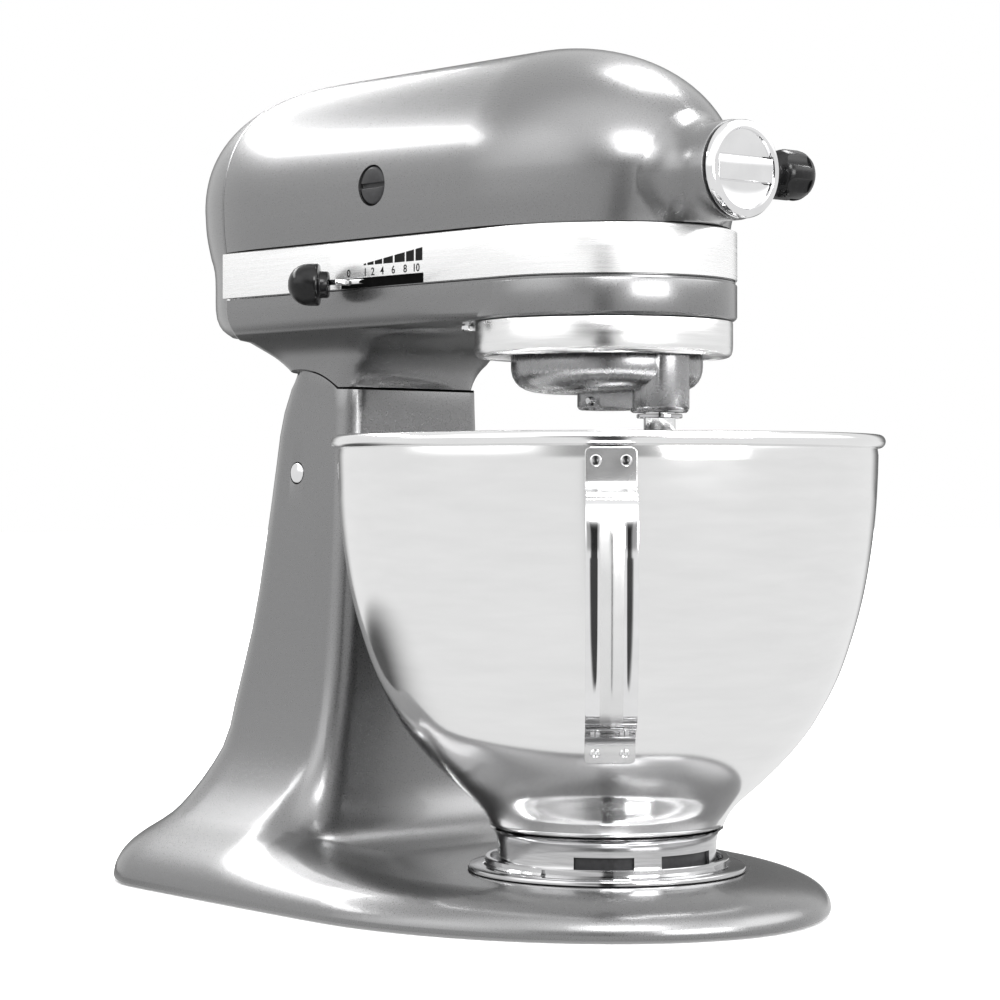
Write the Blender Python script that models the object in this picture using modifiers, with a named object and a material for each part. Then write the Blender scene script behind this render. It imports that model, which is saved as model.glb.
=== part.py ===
"""Tilt-head stand mixer with its bowl, as an assembly of separate pieces.

Lengths are written in millimetres on the bowl's own axis (X to the right, Y to
the rear, Z up from the table) and placed in metres, with the scene's origin
under the middle of the mixer's box.
"""

import math

import bmesh
import bpy
from mathutils import Matrix, Vector

# ---- driving dimensions, mm ----
Y_MID = 63.75  # from the bowl's axis back to the middle of the mixer's length
RIM_R = 112.5  # bowl rim, outside
RIM_TUBE_R = 2.75
RIM_Z = 190.0
BOWL_WALL = 1.4
HANDLE_TURN = 43.2  # degrees from the front towards the left
HANDLE_WIDTH = 19.5
BASE_NOSE_Y = -93.5
BASE_REAR_Y = 228.0
BASE_HALF = 110.4
PAD_Z = 16.6
CASTING_FLOOR = 1.0
PIN_Y, PIN_Z, PIN_R = 154.0, 178.0, 4.6
NECK_R = 44.6  # column top, an arc round the hinge pin
NECK_GAP = 0.8
NECK_STEP_Z = 213.0  # the column top runs forward from the arc at this level
HEAD_R = 56.5
HEAD_Z = 297.0
HEAD_RISE = 55.3
SEAM_Z = 275.2
BAND_LOW, BAND_HIGH = 255.2, 274.8
BAND_R = 54.3
COLLAR_Y = 1.9
COVER_Y = 189.0
HUB_Z = 295.0
HUB_R = 19.6
MODULE = 1.25
WORM_R = 5.75
WHEEL_X, WHEEL_Y = 22.0, 31.9
ORBIT = 25.0
AGITATOR_X, AGITATOR_Y = 6.0, -24.27
BRUSH_Y = 82.0
GAP = 0.3

for old in list(bpy.data.objects):
    bpy.data.objects.remove(old, do_unlink=True)


def collection(name):
    made = bpy.data.collections.new(name)
    bpy.context.scene.collection.children.link(made)
    return made


PARTS = collection("stand_mixer")
CUTTERS = collection("cutters")
CUTTERS.hide_render = True


def material(name, colour, roughness, metallic):
    made = bpy.data.materials.new(name)
    made.use_nodes = True
    shader = made.node_tree.nodes["Principled BSDF"]
    shader.inputs["Base Color"].default_value = (*colour, 1.0)
    shader.inputs["Roughness"].default_value = roughness
    shader.inputs["Metallic"].default_value = metallic
    return made


PAINT = ((0.46, 0.46, 0.47), 0.33, 0.75)
STEEL = ((0.78, 0.78, 0.79), 0.1, 1.0)
CHROME = ((0.85, 0.85, 0.86), 0.07, 1.0)
SATIN = ((0.72, 0.72, 0.73), 0.28, 1.0)
ALLOY = ((0.62, 0.62, 0.63), 0.3, 1.0)
BLACK = ((0.012, 0.012, 0.013), 0.3, 0.0)
RUBBER = ((0.03, 0.03, 0.03), 0.75, 0.0)
IRON = ((0.3, 0.3, 0.31), 0.45, 1.0)
BRASS = ((0.72, 0.5, 0.2), 0.3, 1.0)
COPPER = ((0.72, 0.36, 0.2), 0.35, 1.0)
PLASTIC = ((0.6, 0.58, 0.52), 0.5, 0.0)
CARBON = ((0.05, 0.05, 0.05), 0.7, 0.0)


def at(x, y, z):
    return Vector((x / 1000.0, (y - Y_MID) / 1000.0, z / 1000.0))


AIM = {
    "Z": Matrix.Identity(4),
    "-Z": Matrix.Rotation(math.pi, 4, "X"),
    "X": Matrix.Rotation(math.radians(90), 4, "Y"),
    "-X": Matrix.Rotation(math.radians(-90), 4, "Y"),
    "Y": Matrix.Rotation(math.radians(-90), 4, "X"),
    "-Y": Matrix.Rotation(math.radians(90), 4, "X"),
}
PARENTS = {}


def pivot(name, x, y, z, parent=None):
    made = bpy.data.objects.new(name, None)
    made.empty_display_size = 0.02
    made.location = at(x, y, z)
    PARTS.objects.link(made)
    PARENTS[name] = at(x, y, z)
    if parent:
        attach(made, parent)
    return made


def attach(obj, parent):
    """Parents an object, which keeps its place, to a pivot that isn't turned."""
    holder = bpy.data.objects[parent]
    obj.parent = holder
    obj.matrix_parent_inverse = Matrix.Translation(-PARENTS[parent])


def finish(obj, look=None, parent=None, helper=False, smooth=30):
    (CUTTERS if helper else PARTS).objects.link(obj)
    if helper:
        obj.hide_render = True
        obj.display_type = "WIRE"
    else:
        obj.data.materials.append(material(obj.name, *look))
        if parent:
            attach(obj, parent)
    if obj.type == "MESH":
        obj.data.shade_smooth()
        obj.data.set_sharp_from_angle(angle=math.radians(smooth))
    return obj


def from_bmesh(name, bm, origin, aim, look, parent, helper=False):
    mesh = bpy.data.meshes.new(name)
    bm.to_mesh(mesh)
    bm.free()
    obj = bpy.data.objects.new(name, mesh)
    obj.matrix_world = Matrix.Translation(origin) @ AIM[aim]
    return finish(obj, look, parent, helper)


def cylinder(name, x, y, z, aim, length, r, look=None, parent=None, r2=None, sides=32, helper=False):
    """A cylinder or cone that starts at the point and runs along the aim."""
    bm = bmesh.new()
    bmesh.ops.create_cone(
        bm,
        cap_ends=True,
        cap_tris=False,
        segments=sides,
        radius1=r / 1000.0,
        radius2=(r if r2 is None else r2) / 1000.0,
        depth=length / 1000.0,
        matrix=Matrix.Translation((0, 0, length / 2000.0)) @ Matrix.Rotation(math.pi / sides if sides < 12 else 0.0, 4, "Z"),
    )
    return from_bmesh(name, bm, at(x, y, z), aim, look, parent, helper)


def block(name, low, high, look=None, parent=None, helper=False, bevel=0.0, origin=None):
    size = [h - l for l, h in zip(low, high)]
    middle = at(*[(l + h) / 2 for l, h in zip(low, high)])
    base = at(*origin) if origin else middle
    bm = bmesh.new()
    bmesh.ops.create_cube(bm, size=0.001, matrix=Matrix.Translation(middle - base) @ Matrix.Diagonal((*size, 1.0)))
    obj = from_bmesh(name, bm, base, "Z", look, parent, helper)
    if bevel:
        edge = obj.modifiers.new("Edge", "BEVEL")
        edge.width = bevel / 1000.0
        edge.segments = 2
        edge.limit_method = "ANGLE"
    return obj


def turned(name, profile, x, y, z, aim="Z", sides=48, look=None, parent=None, helper=False, ring=False):
    """A turned piece: (radius, height) points run down the outer side."""
    bm = bmesh.new()
    points = [bm.verts.new((r / 1000.0, 0.0, h / 1000.0)) for r, h in profile]
    for a, b in zip(points, points[1:]):
        bm.edges.new((a, b))
    if ring:
        bm.edges.new((points[-1], points[0]))
    obj = from_bmesh(name, bm, at(x, y, z), aim, look, parent, helper)
    screw = obj.modifiers.new("Turn", "SCREW")
    screw.steps = screw.render_steps = sides
    screw.use_merge_vertices = True
    screw.merge_threshold = 0.00001
    screw.use_normal_calculate = False
    return obj


def slab(name, outline, aim_matrix, low, high, origin, look=None, parent=None, helper=False):
    """A flat outline of (u, v) points, extruded from low to high along the matrix's third axis."""
    bm = bmesh.new()
    face = bm.faces.new([bm.verts.new((u / 1000.0, w / 1000.0, low / 1000.0)) for u, w in outline])
    face.normal_update()
    if face.normal.z > 0:
        face.normal_flip()
    moved = bmesh.ops.extrude_face_region(bm, geom=[face])
    top = [item for item in moved["geom"] if isinstance(item, bmesh.types.BMVert)]
    bmesh.ops.translate(bm, verts=top, vec=(0, 0, (high - low) / 1000.0))
    bmesh.ops.recalc_face_normals(bm, faces=bm.faces)
    bmesh.ops.transform(bm, matrix=aim_matrix, verts=bm.verts)
    return from_bmesh(name, bm, origin, "Z", look, parent, helper)


SIDEWAYS = Matrix(((0, 0, 1, 0), (1, 0, 0, 0), (0, 1, 0, 0), (0, 0, 0, 1)))  # (u, v, w) to (Y, Z, X)
FRONTWARDS = Matrix(((1, 0, 0, 0), (0, 0, 1, 0), (0, 1, 0, 0), (0, 0, 0, 1)))  # (u, v, w) to (X, Z, Y)


def lofted(name, rings, origin, look=None, parent=None, helper=False):
    """Bridges rings of equal length, given as (x, y, z) in mm on the bowl's axis, and closes both ends."""
    bm = bmesh.new()
    base = at(*origin)
    rows = [[bm.verts.new(at(*point) - base) for point in ring] for ring in rings]
    count = len(rows[0])
    for lower, upper in zip(rows, rows[1:]):
        for i in range(count):
            j = (i + 1) % count
            bm.faces.new((lower[i], lower[j], upper[j], upper[i]))
    ends = [bm.faces.new(rows[0]), bm.faces.new(rows[-1])]
    bmesh.ops.triangulate(bm, faces=[face for face in bm.faces if face not in ends])
    bmesh.ops.poke(bm, faces=ends)
    bmesh.ops.recalc_face_normals(bm, faces=bm.faces)
    if bm.calc_volume(signed=True) < 0:
        bmesh.ops.reverse_faces(bm, faces=bm.faces)
    return from_bmesh(name, bm, base, "Z", look, parent, helper)


def combine(target, tool, how="DIFFERENCE"):
    step = target.modifiers.new(f"{how.title()} {tool.name}", "BOOLEAN")
    step.operation = how
    step.solver = "EXACT"
    step.object = tool
    return target


def cut(target, *tools):
    for tool in tools:
        combine(target, tool)
    return target


def join(target, *tools):
    for tool in tools:
        combine(target, tool, "UNION")
    return target


def smooth_step(table, value):
    """Reads a table of (key, value) rows with a smooth curve through them."""
    if value <= table[0][0]:
        return table[0][1]
    if value >= table[-1][0]:
        return table[-1][1]
    slopes = []
    for i in range(len(table)):
        a = table[max(i - 1, 0)]
        b = table[min(i + 1, len(table) - 1)]
        slopes.append((b[1] - a[1]) / (b[0] - a[0]))
    for i, (low, high) in enumerate(zip(table, table[1:])):
        if low[0] <= value <= high[0]:
            span = high[0] - low[0]
            t = (value - low[0]) / span
            return (
                (2 * t**3 - 3 * t**2 + 1) * low[1]
                + (t**3 - 2 * t**2 + t) * span * slopes[i]
                + (3 * t**2 - 2 * t**3) * high[1]
                + (t**3 - t**2) * span * slopes[i + 1]
            )


def arc(cx, cy, r, start, end, steps):
    return [
        (
            cx + r * math.cos(math.radians(start + (end - start) * i / steps)),
            cy + r * math.sin(math.radians(start + (end - start) * i / steps)),
        )
        for i in range(steps + 1)
    ]


# ---- pivots, one on each joint's axis ----
pivot("bowl_axis", 0, 0, 18.8)
pivot("tilt_axis", 0, PIN_Y, PIN_Z)
pivot("lock_slide", 40, 145, 188)
pivot("armature_axis", 0, 100, HEAD_Z, "tilt_axis")
pivot("worm_wheel_axis", WHEEL_X, WHEEL_Y, 280, "tilt_axis")
pivot("planetary_axis", 0, 0, 226, "tilt_axis")
pivot("agitator_axis", AGITATOR_X, AGITATOR_Y, 226, "planetary_axis")
pivot("hub_axis", 0, -40, HUB_Z, "tilt_axis")
pivot("hub_cap_slide", 0, -74, HUB_Z, "tilt_axis")
pivot("knob_axis", 30, -62, 296.6, "tilt_axis")
pivot("speed_slide", -54, 99.7, 257.2, "tilt_axis")


# ---- base and column ----
def base_outline(inset):
    """Plan of the base: an oval nose, sides that draw in a little, round rear corners."""
    nose = 50.0
    half = []
    for i in range(25):
        turn = math.radians(90.0 * i / 24)
        half.append((BASE_HALF * math.sin(turn) ** (2 / 1.92), nose - (nose - BASE_NOSE_Y) * math.cos(turn) ** (2 / 1.92)))
    corner = 44.0
    side_end = BASE_REAR_Y - corner
    for i in range(1, 9):
        y = nose + (side_end - nose) * i / 8
        half.append((BASE_HALF - 4.4 * ((y - nose) / (side_end - nose)) ** 1.4, y))
    last = half[-1][0]
    for px, py in arc(last - corner, side_end, corner, 8, 90, 10):
        half.append((px, py))
    points = half + [(-x, y) for x, y in reversed(half[1:])]
    moved = []
    for i, (x, y) in enumerate(points):
        ax, ay = points[i - 1]
        bx, by = points[(i + 1) % len(points)]
        dx, dy = bx - ax, by - ay
        size = math.hypot(dx, dy)
        moved.append((x - inset * dy / size, y + inset * dx / size))
    return moved


def rounded_box(half, front, rear, front_r, rear_r):
    half_right = (
        arc(half - front_r, front + front_r, front_r, -90, 0, 6)
        + arc(half - rear_r, rear - rear_r, rear_r, 0, 90, 6)
    )
    return half_right + [(-x, y) for x, y in reversed(half_right)]


CORE = (0.0, 150.0)


def ray_hit(outline, turn):
    """Where a ray from the column's middle leaves an outline."""
    dx, dy = math.cos(turn), math.sin(turn)
    best = None
    for (ax, ay), (bx, by) in zip(outline, outline[1:] + outline[:1]):
        ex, ey = bx - ax, by - ay
        bottom = dx * ey - dy * ex
        if abs(bottom) < 1e-9:
            continue
        t = ((ax - CORE[0]) * ey - (ay - CORE[1]) * ex) / bottom
        s = ((ax - CORE[0]) * dy - (ay - CORE[1]) * dx) / bottom
        if t > 0 and -1e-9 <= s <= 1 + 1e-9 and (best is None or t > best):
            best = t
    return (CORE[0] + dx * best, CORE[1] + dy * best)


def ring_turns(count):
    """Directions from the column's middle to points spread evenly along the base's edge."""
    outline = base_outline(0)
    lengths = [0.0]
    for a, b in zip(outline, outline[1:] + outline[:1]):
        lengths.append(lengths[-1] + math.dist(a, b))
    turns = []
    for i in range(count):
        goal = lengths[-1] * i / count
        k = max(j for j in range(len(outline)) if lengths[j] <= goal + 1e-9)
        a, b = outline[k], outline[(k + 1) % len(outline)]
        t = (goal - lengths[k]) / max(lengths[k + 1] - lengths[k], 1e-9)
        turns.append(math.atan2(a[1] + (b[1] - a[1]) * t - CORE[1], a[0] + (b[0] - a[0]) * t - CORE[0]))
    return turns


HALF_AT = [(17, 98), (21, 87), (27.5, 76.5), (31, 72), (36, 66.5), (43, 60.5), (51, 55.5), (60, 51), (80, 46.5), (110, 43.4), (150, 41), (180, 39.3), (213, 38), (226, 38)]
FRONT_AT = [(17, 93), (18.5, 98), (21, 104), (25, 109.5), (31, 113.5), (40, 116.2), (55, 118), (80, 119), (226, 119)]
REAR_AT = [(17, 222), (27.5, 220), (31, 218.5), (36, 217), (43, 214), (51, 210), (60, 206), (80, 200), (110, 192), (150, 184.8), (180, 180.4), (195, 178.2), (210, 173.6), (226, 164)]


def column_ring(z, turns, inset=0.0):
    half = smooth_step(HALF_AT, z) - inset
    front = smooth_step(FRONT_AT, z) + inset
    rear = smooth_step(REAR_AT, z) - inset
    deep = rear - front
    front_r = min(9.0 + max(0.0, 60 - z) * 0.5, half * 0.6, deep * 0.45)
    rear_r = min(17.0 + max(0.0, 80 - z) * 0.35, half * 0.6, deep * 0.45)
    outline = rounded_box(half, front, rear, front_r, rear_r)
    return [(*ray_hit(outline, turn), z) for turn in turns]


TURNS = ring_turns(36)


def base_ring(inset, z, turns=None):
    outline = base_outline(inset)
    return [(*ray_hit(outline, turn), z) for turn in (turns or TURNS)]


def backward(turn):
    """0 for directions to the front of the foot, 1 to its sides and rear."""
    off = abs(math.degrees(math.remainder(turn + math.pi / 2, 2 * math.pi)))
    t = min(max((off - 28.0) / 52.0, 0.0), 1.0)
    return t * t * (3 - 2 * t)


# the foot's edge: inset and level at the front, then share of the way in to the column and level behind
EDGE = [
    (0.0, 2.4, 0.0, 2.4), (0.5, 5.0, 0.02, 6.0), (2.2, 8.0, 0.07, 9.5), (5.6, 10.8, 0.17, 13.5),
    (11.5, 13.3, 0.33, 17.5), (20.0, 15.3, 0.55, 21.2), (28.5, 16.4, 0.8, 24.6),
]
# the column's levels at the front and behind
RISE = [(17.0, 27.5), (19.4, 31.0), (25.0, 36.0), (36.0, 43.0), (56.0, 56.0), (90.0, 90.0), (145.0, 145.0), (195.0, 195.0), (225.0, 225.0)]


def foot_ring(inset, low, share, high):
    rim, col = base_ring(0.0, 0.0), column_ring(RISE[0][1], TURNS)
    ring = []
    for turn, (fx, fy, _), (rx, ry, _), (cx, cy, _) in zip(TURNS, base_ring(inset, low), rim, col):
        w = backward(turn)
        bx, by = rx + (cx - rx) * share, ry + (cy - ry) * share
        ring.append((fx + (bx - fx) * w, fy + (by - fy) * w, low + (high - low) * w))
    return ring


def rise_ring(low, high):
    ring = []
    for turn in TURNS:
        z = low + (high - low) * backward(turn)
        x, y, _ = column_ring(z, [turn])[0]
        ring.append((x, y, max(z, PAD_Z) if low > 17 or z > 17.4 else PAD_Z))
    return ring


rings = [base_ring(0.6, CASTING_FLOOR)] + [foot_ring(*row) for row in EDGE] + [rise_ring(*row) for row in RISE]
pedestal = lofted("pedestal_base", rings, (0, PIN_Y, 0), PAINT)

# the casting is hollow: one wide hollow under the foot and one in the column
coarse = TURNS[::2]
hollow_rings = [base_ring(8.0, z, coarse) for z in (-6.0, 6.6)] + [base_ring(13.0, 10.2, coarse), base_ring(22.0, 12.6, coarse)]
under = lofted("foot_hollow", hollow_rings, (0, 60, 0), helper=True)
column_rings = [column_ring(z, coarse, 5.0) for z in (31, 55, 80, 110, 138)]
column_rings[0] = [(x, y, 6.0) for x, y, _ in column_rings[0]]
inside = lofted("column_hollow", column_rings, (0, 160, 0), helper=True)
head_room = slab(
    "hinge_room",
    [(126.5, 150), (165.5, 150), (165.5, 240), (126.5, 240)],
    SIDEWAYS, -33.0, 33.0, at(0, 0, 0), helper=True,
)
rear_slot = slab("rear_slot", [(150, 163), (200, 163), (200, 240), (150, 240)], SIDEWAYS, -31.6, 31.6, at(0, 0, 0), helper=True)
above = arc(PIN_Y, PIN_Z, NECK_R, 126, 60, 20)
neck_arc = slab("neck_arc", above + [(220, 260), (100, 260), (100, NECK_STEP_Z)], SIDEWAYS, -60, 60, at(0, 0, 0), helper=True)
pin_hole = cylinder("pin_hole", -60, PIN_Y, PIN_Z, "X", 120, PIN_R + GAP, helper=True)
lock_slot = block("lock_slot", (30, 127.2, 184.8), (50, 151.5, 191.2), helper=True)
cut(pedestal, under, inside, head_room, rear_slot, neck_arc, pin_hole, lock_slot)
FEET = [(0, -66), (80, 26), (-80, 26), (76, 184), (-76, 184)]
for number, (x, y) in enumerate(FEET, 1):
    join(pedestal, cylinder(f"foot_boss_{number}", x, y, 5.3, "Z", 7.7, 10.4, helper=True, sides=24))
    cylinder(f"foot_{number}", x, y, 0, "Z", 5.0, 8.4, RUBBER, r2=9.4, sides=24)
turned("hinge_pin", [(0, 79.4), (PIN_R - 0.8, 79.4), (PIN_R, 78.6), (PIN_R, 0.8), (PIN_R - 0.8, 0), (0, 0)], -40.0, PIN_Y, PIN_Z, "X", 28, CHROME)

# ---- bowl clamp plate, screwed to the base ----
plate = turned(
    "bowl_clamp_plate",
    [(44.0, 18.6), (46.9, 18.6), (47.2, 22.2), (49.6, 22.2), (50.2, 19.4), (56.5, 18.8), (56.5, 17.0), (30.0, 17.0), (30.0, 18.6)],
    0, 0, 0, sides=32, look=STEEL, ring=True,
)
for number, turn in enumerate((90, 210, 330), 1):
    x, y = 37.0 * math.cos(math.radians(turn)), 37.0 * math.sin(math.radians(turn))
    cut(plate, cylinder(f"clamp_hole_{number}", x, y, 10, "Z", 20, 2.6, helper=True, sides=16))
    cut(pedestal, cylinder(f"clamp_tap_{number}", x, y, 5, "Z", 20, 2.4, helper=True, sides=16))
    turned(f"clamp_screw_{number}", [(0, 20.6), (3.4, 20.6), (4.2, 19.9), (4.2, 18.9), (2.1, 18.9), (2.1, 13.5), (0, 13.5)], x, y, 0, sides=12, look=STEEL)

# ---- bowl ----
BOWL_OUTSIDE = [
    (35.0, 47.5), (40.0, 50.0), (45.0, 54.4), (53.0, 63.4), (61.2, 71.6), (69.3, 78.6), (77.4, 84.3),
    (93.6, 92.9), (110.0, 98.8), (126.0, 103.2), (142.2, 106.2), (160.0, 108.4), (176.0, 109.4), (187.0, 109.7),
]


def bowl_radius(z):
    return smooth_step(BOWL_OUTSIDE, z)


tube = arc(RIM_R - RIM_TUBE_R, RIM_Z, RIM_TUBE_R, 180, -90, 6)
heights = [176, 144, 114, 90, 70, 54, 42, 35.2]
heights_in = [176, 130, 92, 64, 46, 35.2]
outside = [(bowl_radius(z), z) for z in heights]
floor_out = [(38, 33.4), (20, 33.0), (0, 33.0)]
inside_low = [(0, 33.0 + BOWL_WALL), (20, 33.0 + BOWL_WALL), (38, 33.4 + BOWL_WALL)]
inside_wall = [(bowl_radius(z) - BOWL_WALL, z + (0.9 if z < 60 else 0.0)) for z in reversed(heights_in)]
bowl_profile = inside_low + inside_wall + tube + outside + floor_out
turned("bowl_shell", bowl_profile, 0, 0, 0, sides=32, look=STEEL, parent="bowl_axis")
turned(
    "bowl_foot_ring",
    [(47.4, 33.9), (44.9, 31), (44.4, 27), (44.6, 22), (45.6, 19.0), (44.0, 19.0), (43.1, 23), (43.1, 30), (44.6, 33.6)],
    0, 0, 0, sides=32, look=STEEL, parent="bowl_axis", ring=True,
)


def strap_outline(path, thickness):
    """Both sides of a bent strap, from its middle line."""
    left, right = [], []
    for i, (u, w) in enumerate(path):
        au, aw = path[max(i - 1, 0)]
        bu, bw = path[min(i + 1, len(path) - 1)]
        du, dw = bu - au, bw - aw
        size = math.hypot(du, dw)
        left.append((u - dw / size * thickness / 2, w + du / size * thickness / 2))
        right.append((u + dw / size * thickness / 2, w - du / size * thickness / 2))
    return left + right[::-1]


def on_wall(z, off):
    return (bowl_radius(z) + off, z)


GRIP = [
    on_wall(186.5, 1.5), on_wall(180, 1.5), on_wall(173.5, 1.6), (112.6, 170.6), (117.0, 169.4), (124.5, 168.8), (130.5, 166.8),
    (134.6, 162.4), (136.4, 155.5), (136.8, 142.0), (135.4, 128.0), (132.2, 114.0), (127.0, 101.6), (121.0, 92.6),
    (114.0, 86.4), (105.0, 82.6), (95.0, 80.4), (89.4, 78.6), on_wall(75.5, 1.9), on_wall(71.5, 1.6), on_wall(67.0, 1.6),
]
turn_to_handle = Matrix.Rotation(math.radians(-90 - HANDLE_TURN), 4, "Z")
# (u, v, w) of the outline to (out from the bowl, up, across)
strap_axes = turn_to_handle @ Matrix(((1, 0, 0, 0), (0, 0, -1, 0), (0, 1, 0, 0), (0, 0, 0, 1)))
slab("bowl_handle", strap_outline(GRIP, 2.2), strap_axes, -HANDLE_WIDTH / 2, HANDLE_WIDTH / 2, at(0, 0, 0), STEEL, "bowl_axis")


# ---- head: one outer form, parted into the housing, the lower case and the rear cover ----
FRONT_LOW = [(240, -50.0), (262, -52.2), (275, -52.4), (286, -55.4), (297, -57.0)]
TAPER_Y = 150.0  # the sides run straight back to here
SIDE_AT = [(240, 44.0), (243, 49.0), (247, 52.4), (252, 54.0), (262, 54.6), (275, 55.2), (286, 56.2), (297, 56.5)]
REAR_LOW = [(240, 229.0), (243, 232.0), (248, 233.0), (256, 232.6), (266, 232.3), (271, 233.4), (275, 235.6), (286, 238.8), (297, 240.0)]


def head_size(z, inset=0.0):
    """Half width, front end and rear end of the head at one level."""
    radius = HEAD_R - inset
    if z > HEAD_Z:
        drop = (z - HEAD_Z) / (HEAD_RISE - inset)
        share = math.sqrt(max(1.0 - drop**2, 1e-4))
        return radius * share, 25.0 - (82.0 - inset) * share, TAPER_Y + (90.0 - inset) * max(1.0 - drop**2.5, 1e-4) ** (1 / 2.5)
    return smooth_step(SIDE_AT, z) - inset, smooth_step(FRONT_LOW, z) + inset, smooth_step(REAR_LOW, z) - inset


def tapered(half, rear, y):
    """Half width of the head behind the straight sides, where it rounds in to the tail."""
    return half * (1.0 - min((y - TAPER_Y) / (rear - TAPER_Y), 0.999) ** 2.4) ** (1 / 2.4)


def nose_ring(z, end, inset=0.0, steps=8):
    """Level outline of the head's front part: oval nose, straight sides, square end."""
    half, front, rear = head_size(z, inset)
    right = []
    for i in range(steps + 1):
        turn = math.radians(90.0 * i / steps)
        right.append((half * math.sin(turn) ** (2 / 2.05), 25.0 - (25.0 - front) * math.cos(turn) ** (2 / 2.05)))
    last = min(end, TAPER_Y + (rear - TAPER_Y) * 0.98)
    right += [(half, 90.0), (half, TAPER_Y)] + [(tapered(half, rear, y), y) for y in (TAPER_Y + (last - TAPER_Y) * 0.55, last)]
    return [(x, y, z) for x, y in right + [(-x, y) for x, y in reversed(right[1:])]]


def tail_ring(z, start, inset=0.0, steps=7):
    """Level outline of the head's round tail, square at its front."""
    half, _, rear = head_size(z, inset)
    rear = max(rear, start + 4.0)
    right = []
    for i in range(steps + 1):
        y = start + (rear - start) * math.sin(math.radians(90.0 * i / steps))
        right.append((tapered(half, rear, y) if i < steps else 0.0, y))
    return [(x, y, z) for x, y in right + [(-x, y) for x, y in reversed(right[:-1])]]


UP = [275.6, 284, 297, 308, 318, 328, 336, 343, 347.8, 350.6, 352.0]
INNER_UP = (284, 300, 318, 333, 343, 347.4)
upper = lofted("upper_housing", [nose_ring(z, COVER_Y - 0.2) for z in UP], (0, PIN_Y, PIN_Z), PAINT, "tilt_axis")
upper_hollow = lofted("upper_hollow", [nose_ring(z, 200, 3.4, 5) for z in (262, *INNER_UP)], (0, 100, 300), helper=True)
boss = turned("hub_boss", [(0, 28), (HUB_R - 1.2, 28), (HUB_R, 27), (HUB_R, 12), (HUB_R + 1.5, 6), (HUB_R + 5, 0), (0, 0)], 0, -45.8, HUB_Z, "-Y", 40, helper=True)
knob_boss = cylinder("knob_boss", 10, -62, 296.6, "X", 15.2, 7.0, helper=True, sides=24)
hub_bore = cylinder("hub_bore", 0, -38, HUB_Z, "-Y", 60, 15.7, helper=True, sides=36)
knob_bore = cylinder("knob_bore", 8, -62, 296.6, "X", 40, 3.4, helper=True, sides=20)
brush_bore = cylinder("brush_bore", -80, BRUSH_Y, HEAD_Z, "X", 160, 8.6, helper=True, sides=28)
join(upper, boss, knob_boss)
cut(upper, block("below_seam", (-80, -90, 200), (80, 0, UP[0]), helper=True), upper_hollow, hub_bore, knob_bore, brush_bore)

# rear cover, down past the band to the head's lower edge
cover = lofted("rear_cover", [tail_ring(z, COVER_Y + 0.2) for z in [240, 243, 248, 256, 266, 271, 275] + UP[1:9]], (0, PIN_Y, PIN_Z), PAINT, "tilt_axis")
cover_hollow = lofted("cover_hollow", [tail_ring(z, COVER_Y - 8, 3.2, 5) for z in (243.4, 252, 266, *INNER_UP)], (0, 200, 300), helper=True)
cover_screw_bore = cylinder("cover_screw_bore", 0, 260, 318, "-Y", 60, 2.4, helper=True, sides=16)
gland_bore = cylinder("gland_bore", 0, 260, 262, "-Y", 60, 7.3, helper=True, sides=24)
cut(cover, cover_hollow, cover_screw_bore, gland_bore)
turned("rear_cover_screw", [(0, 7.8), (3.6, 7.7), (4.6, 7.0), (4.6, 6.2), (2.0, 6.2), (2.0, -6), (0, -6)], 0, 231.9, 318, "Y", 12, STEEL, "tilt_axis")
turned("cord_grommet", [(0, 8), (6.2, 8), (8.4, 6.6), (8.4, 4.9), (6.9, 4.9), (6.9, -2.6), (0, -2.6)], 0, 228.9, 262, "Y", 24, RUBBER, "tilt_axis")

# lower case: band seat, lip, underside drawn in to the neck, collar, hinge lug
LOW_HALF = [(205, 38), (222, 38.2), (227, 39.0), (231, 41.0), (235, 44.4), (240, 49.4), (245, 52.6), (249.5, 53.6)]
LOW_FRONT = [(205, 119.2), (214, 119.0), (218, 117.4), (222, 114.2), (226, 109.0), (230, 101.0), (233, 89.0), (236, 70.0), (238.9, 57.0)]
LOW_REAR = [(205, 158), (217, 160.5), (222, 165.5), (228, 174), (234, 184), (238, 188.7), (260, 188.7)]


def case_ring(z, half, front, rear, steps=8):
    """A level outline of the lower case, square at the rear seam: box-like in front at the neck, round at the collar."""
    share = min(max((z - 226.0) / 12.0, 0.0), 1.0)
    nose = min(front + 20.0 + (half - 20.0) * share, rear - 16.0)
    power = 2 / (4.4 - 2.4 * share)
    right = []
    for i in range(steps + 1):
        turn = math.radians(90.0 * i / steps)
        right.append((half * math.sin(turn) ** power, nose - (nose - front) * math.cos(turn) ** power))
    corner = 3.0 if z > 236 else 10.0
    right += [(half, (nose + rear) / 2), (half, rear - corner), (half - corner * 0.3, rear - corner * 0.3), (half - corner, rear)]
    left = [(-x, y) for x, y in reversed(right[1:])]
    return [(x, y, z) for x, y in right + left]


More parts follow.
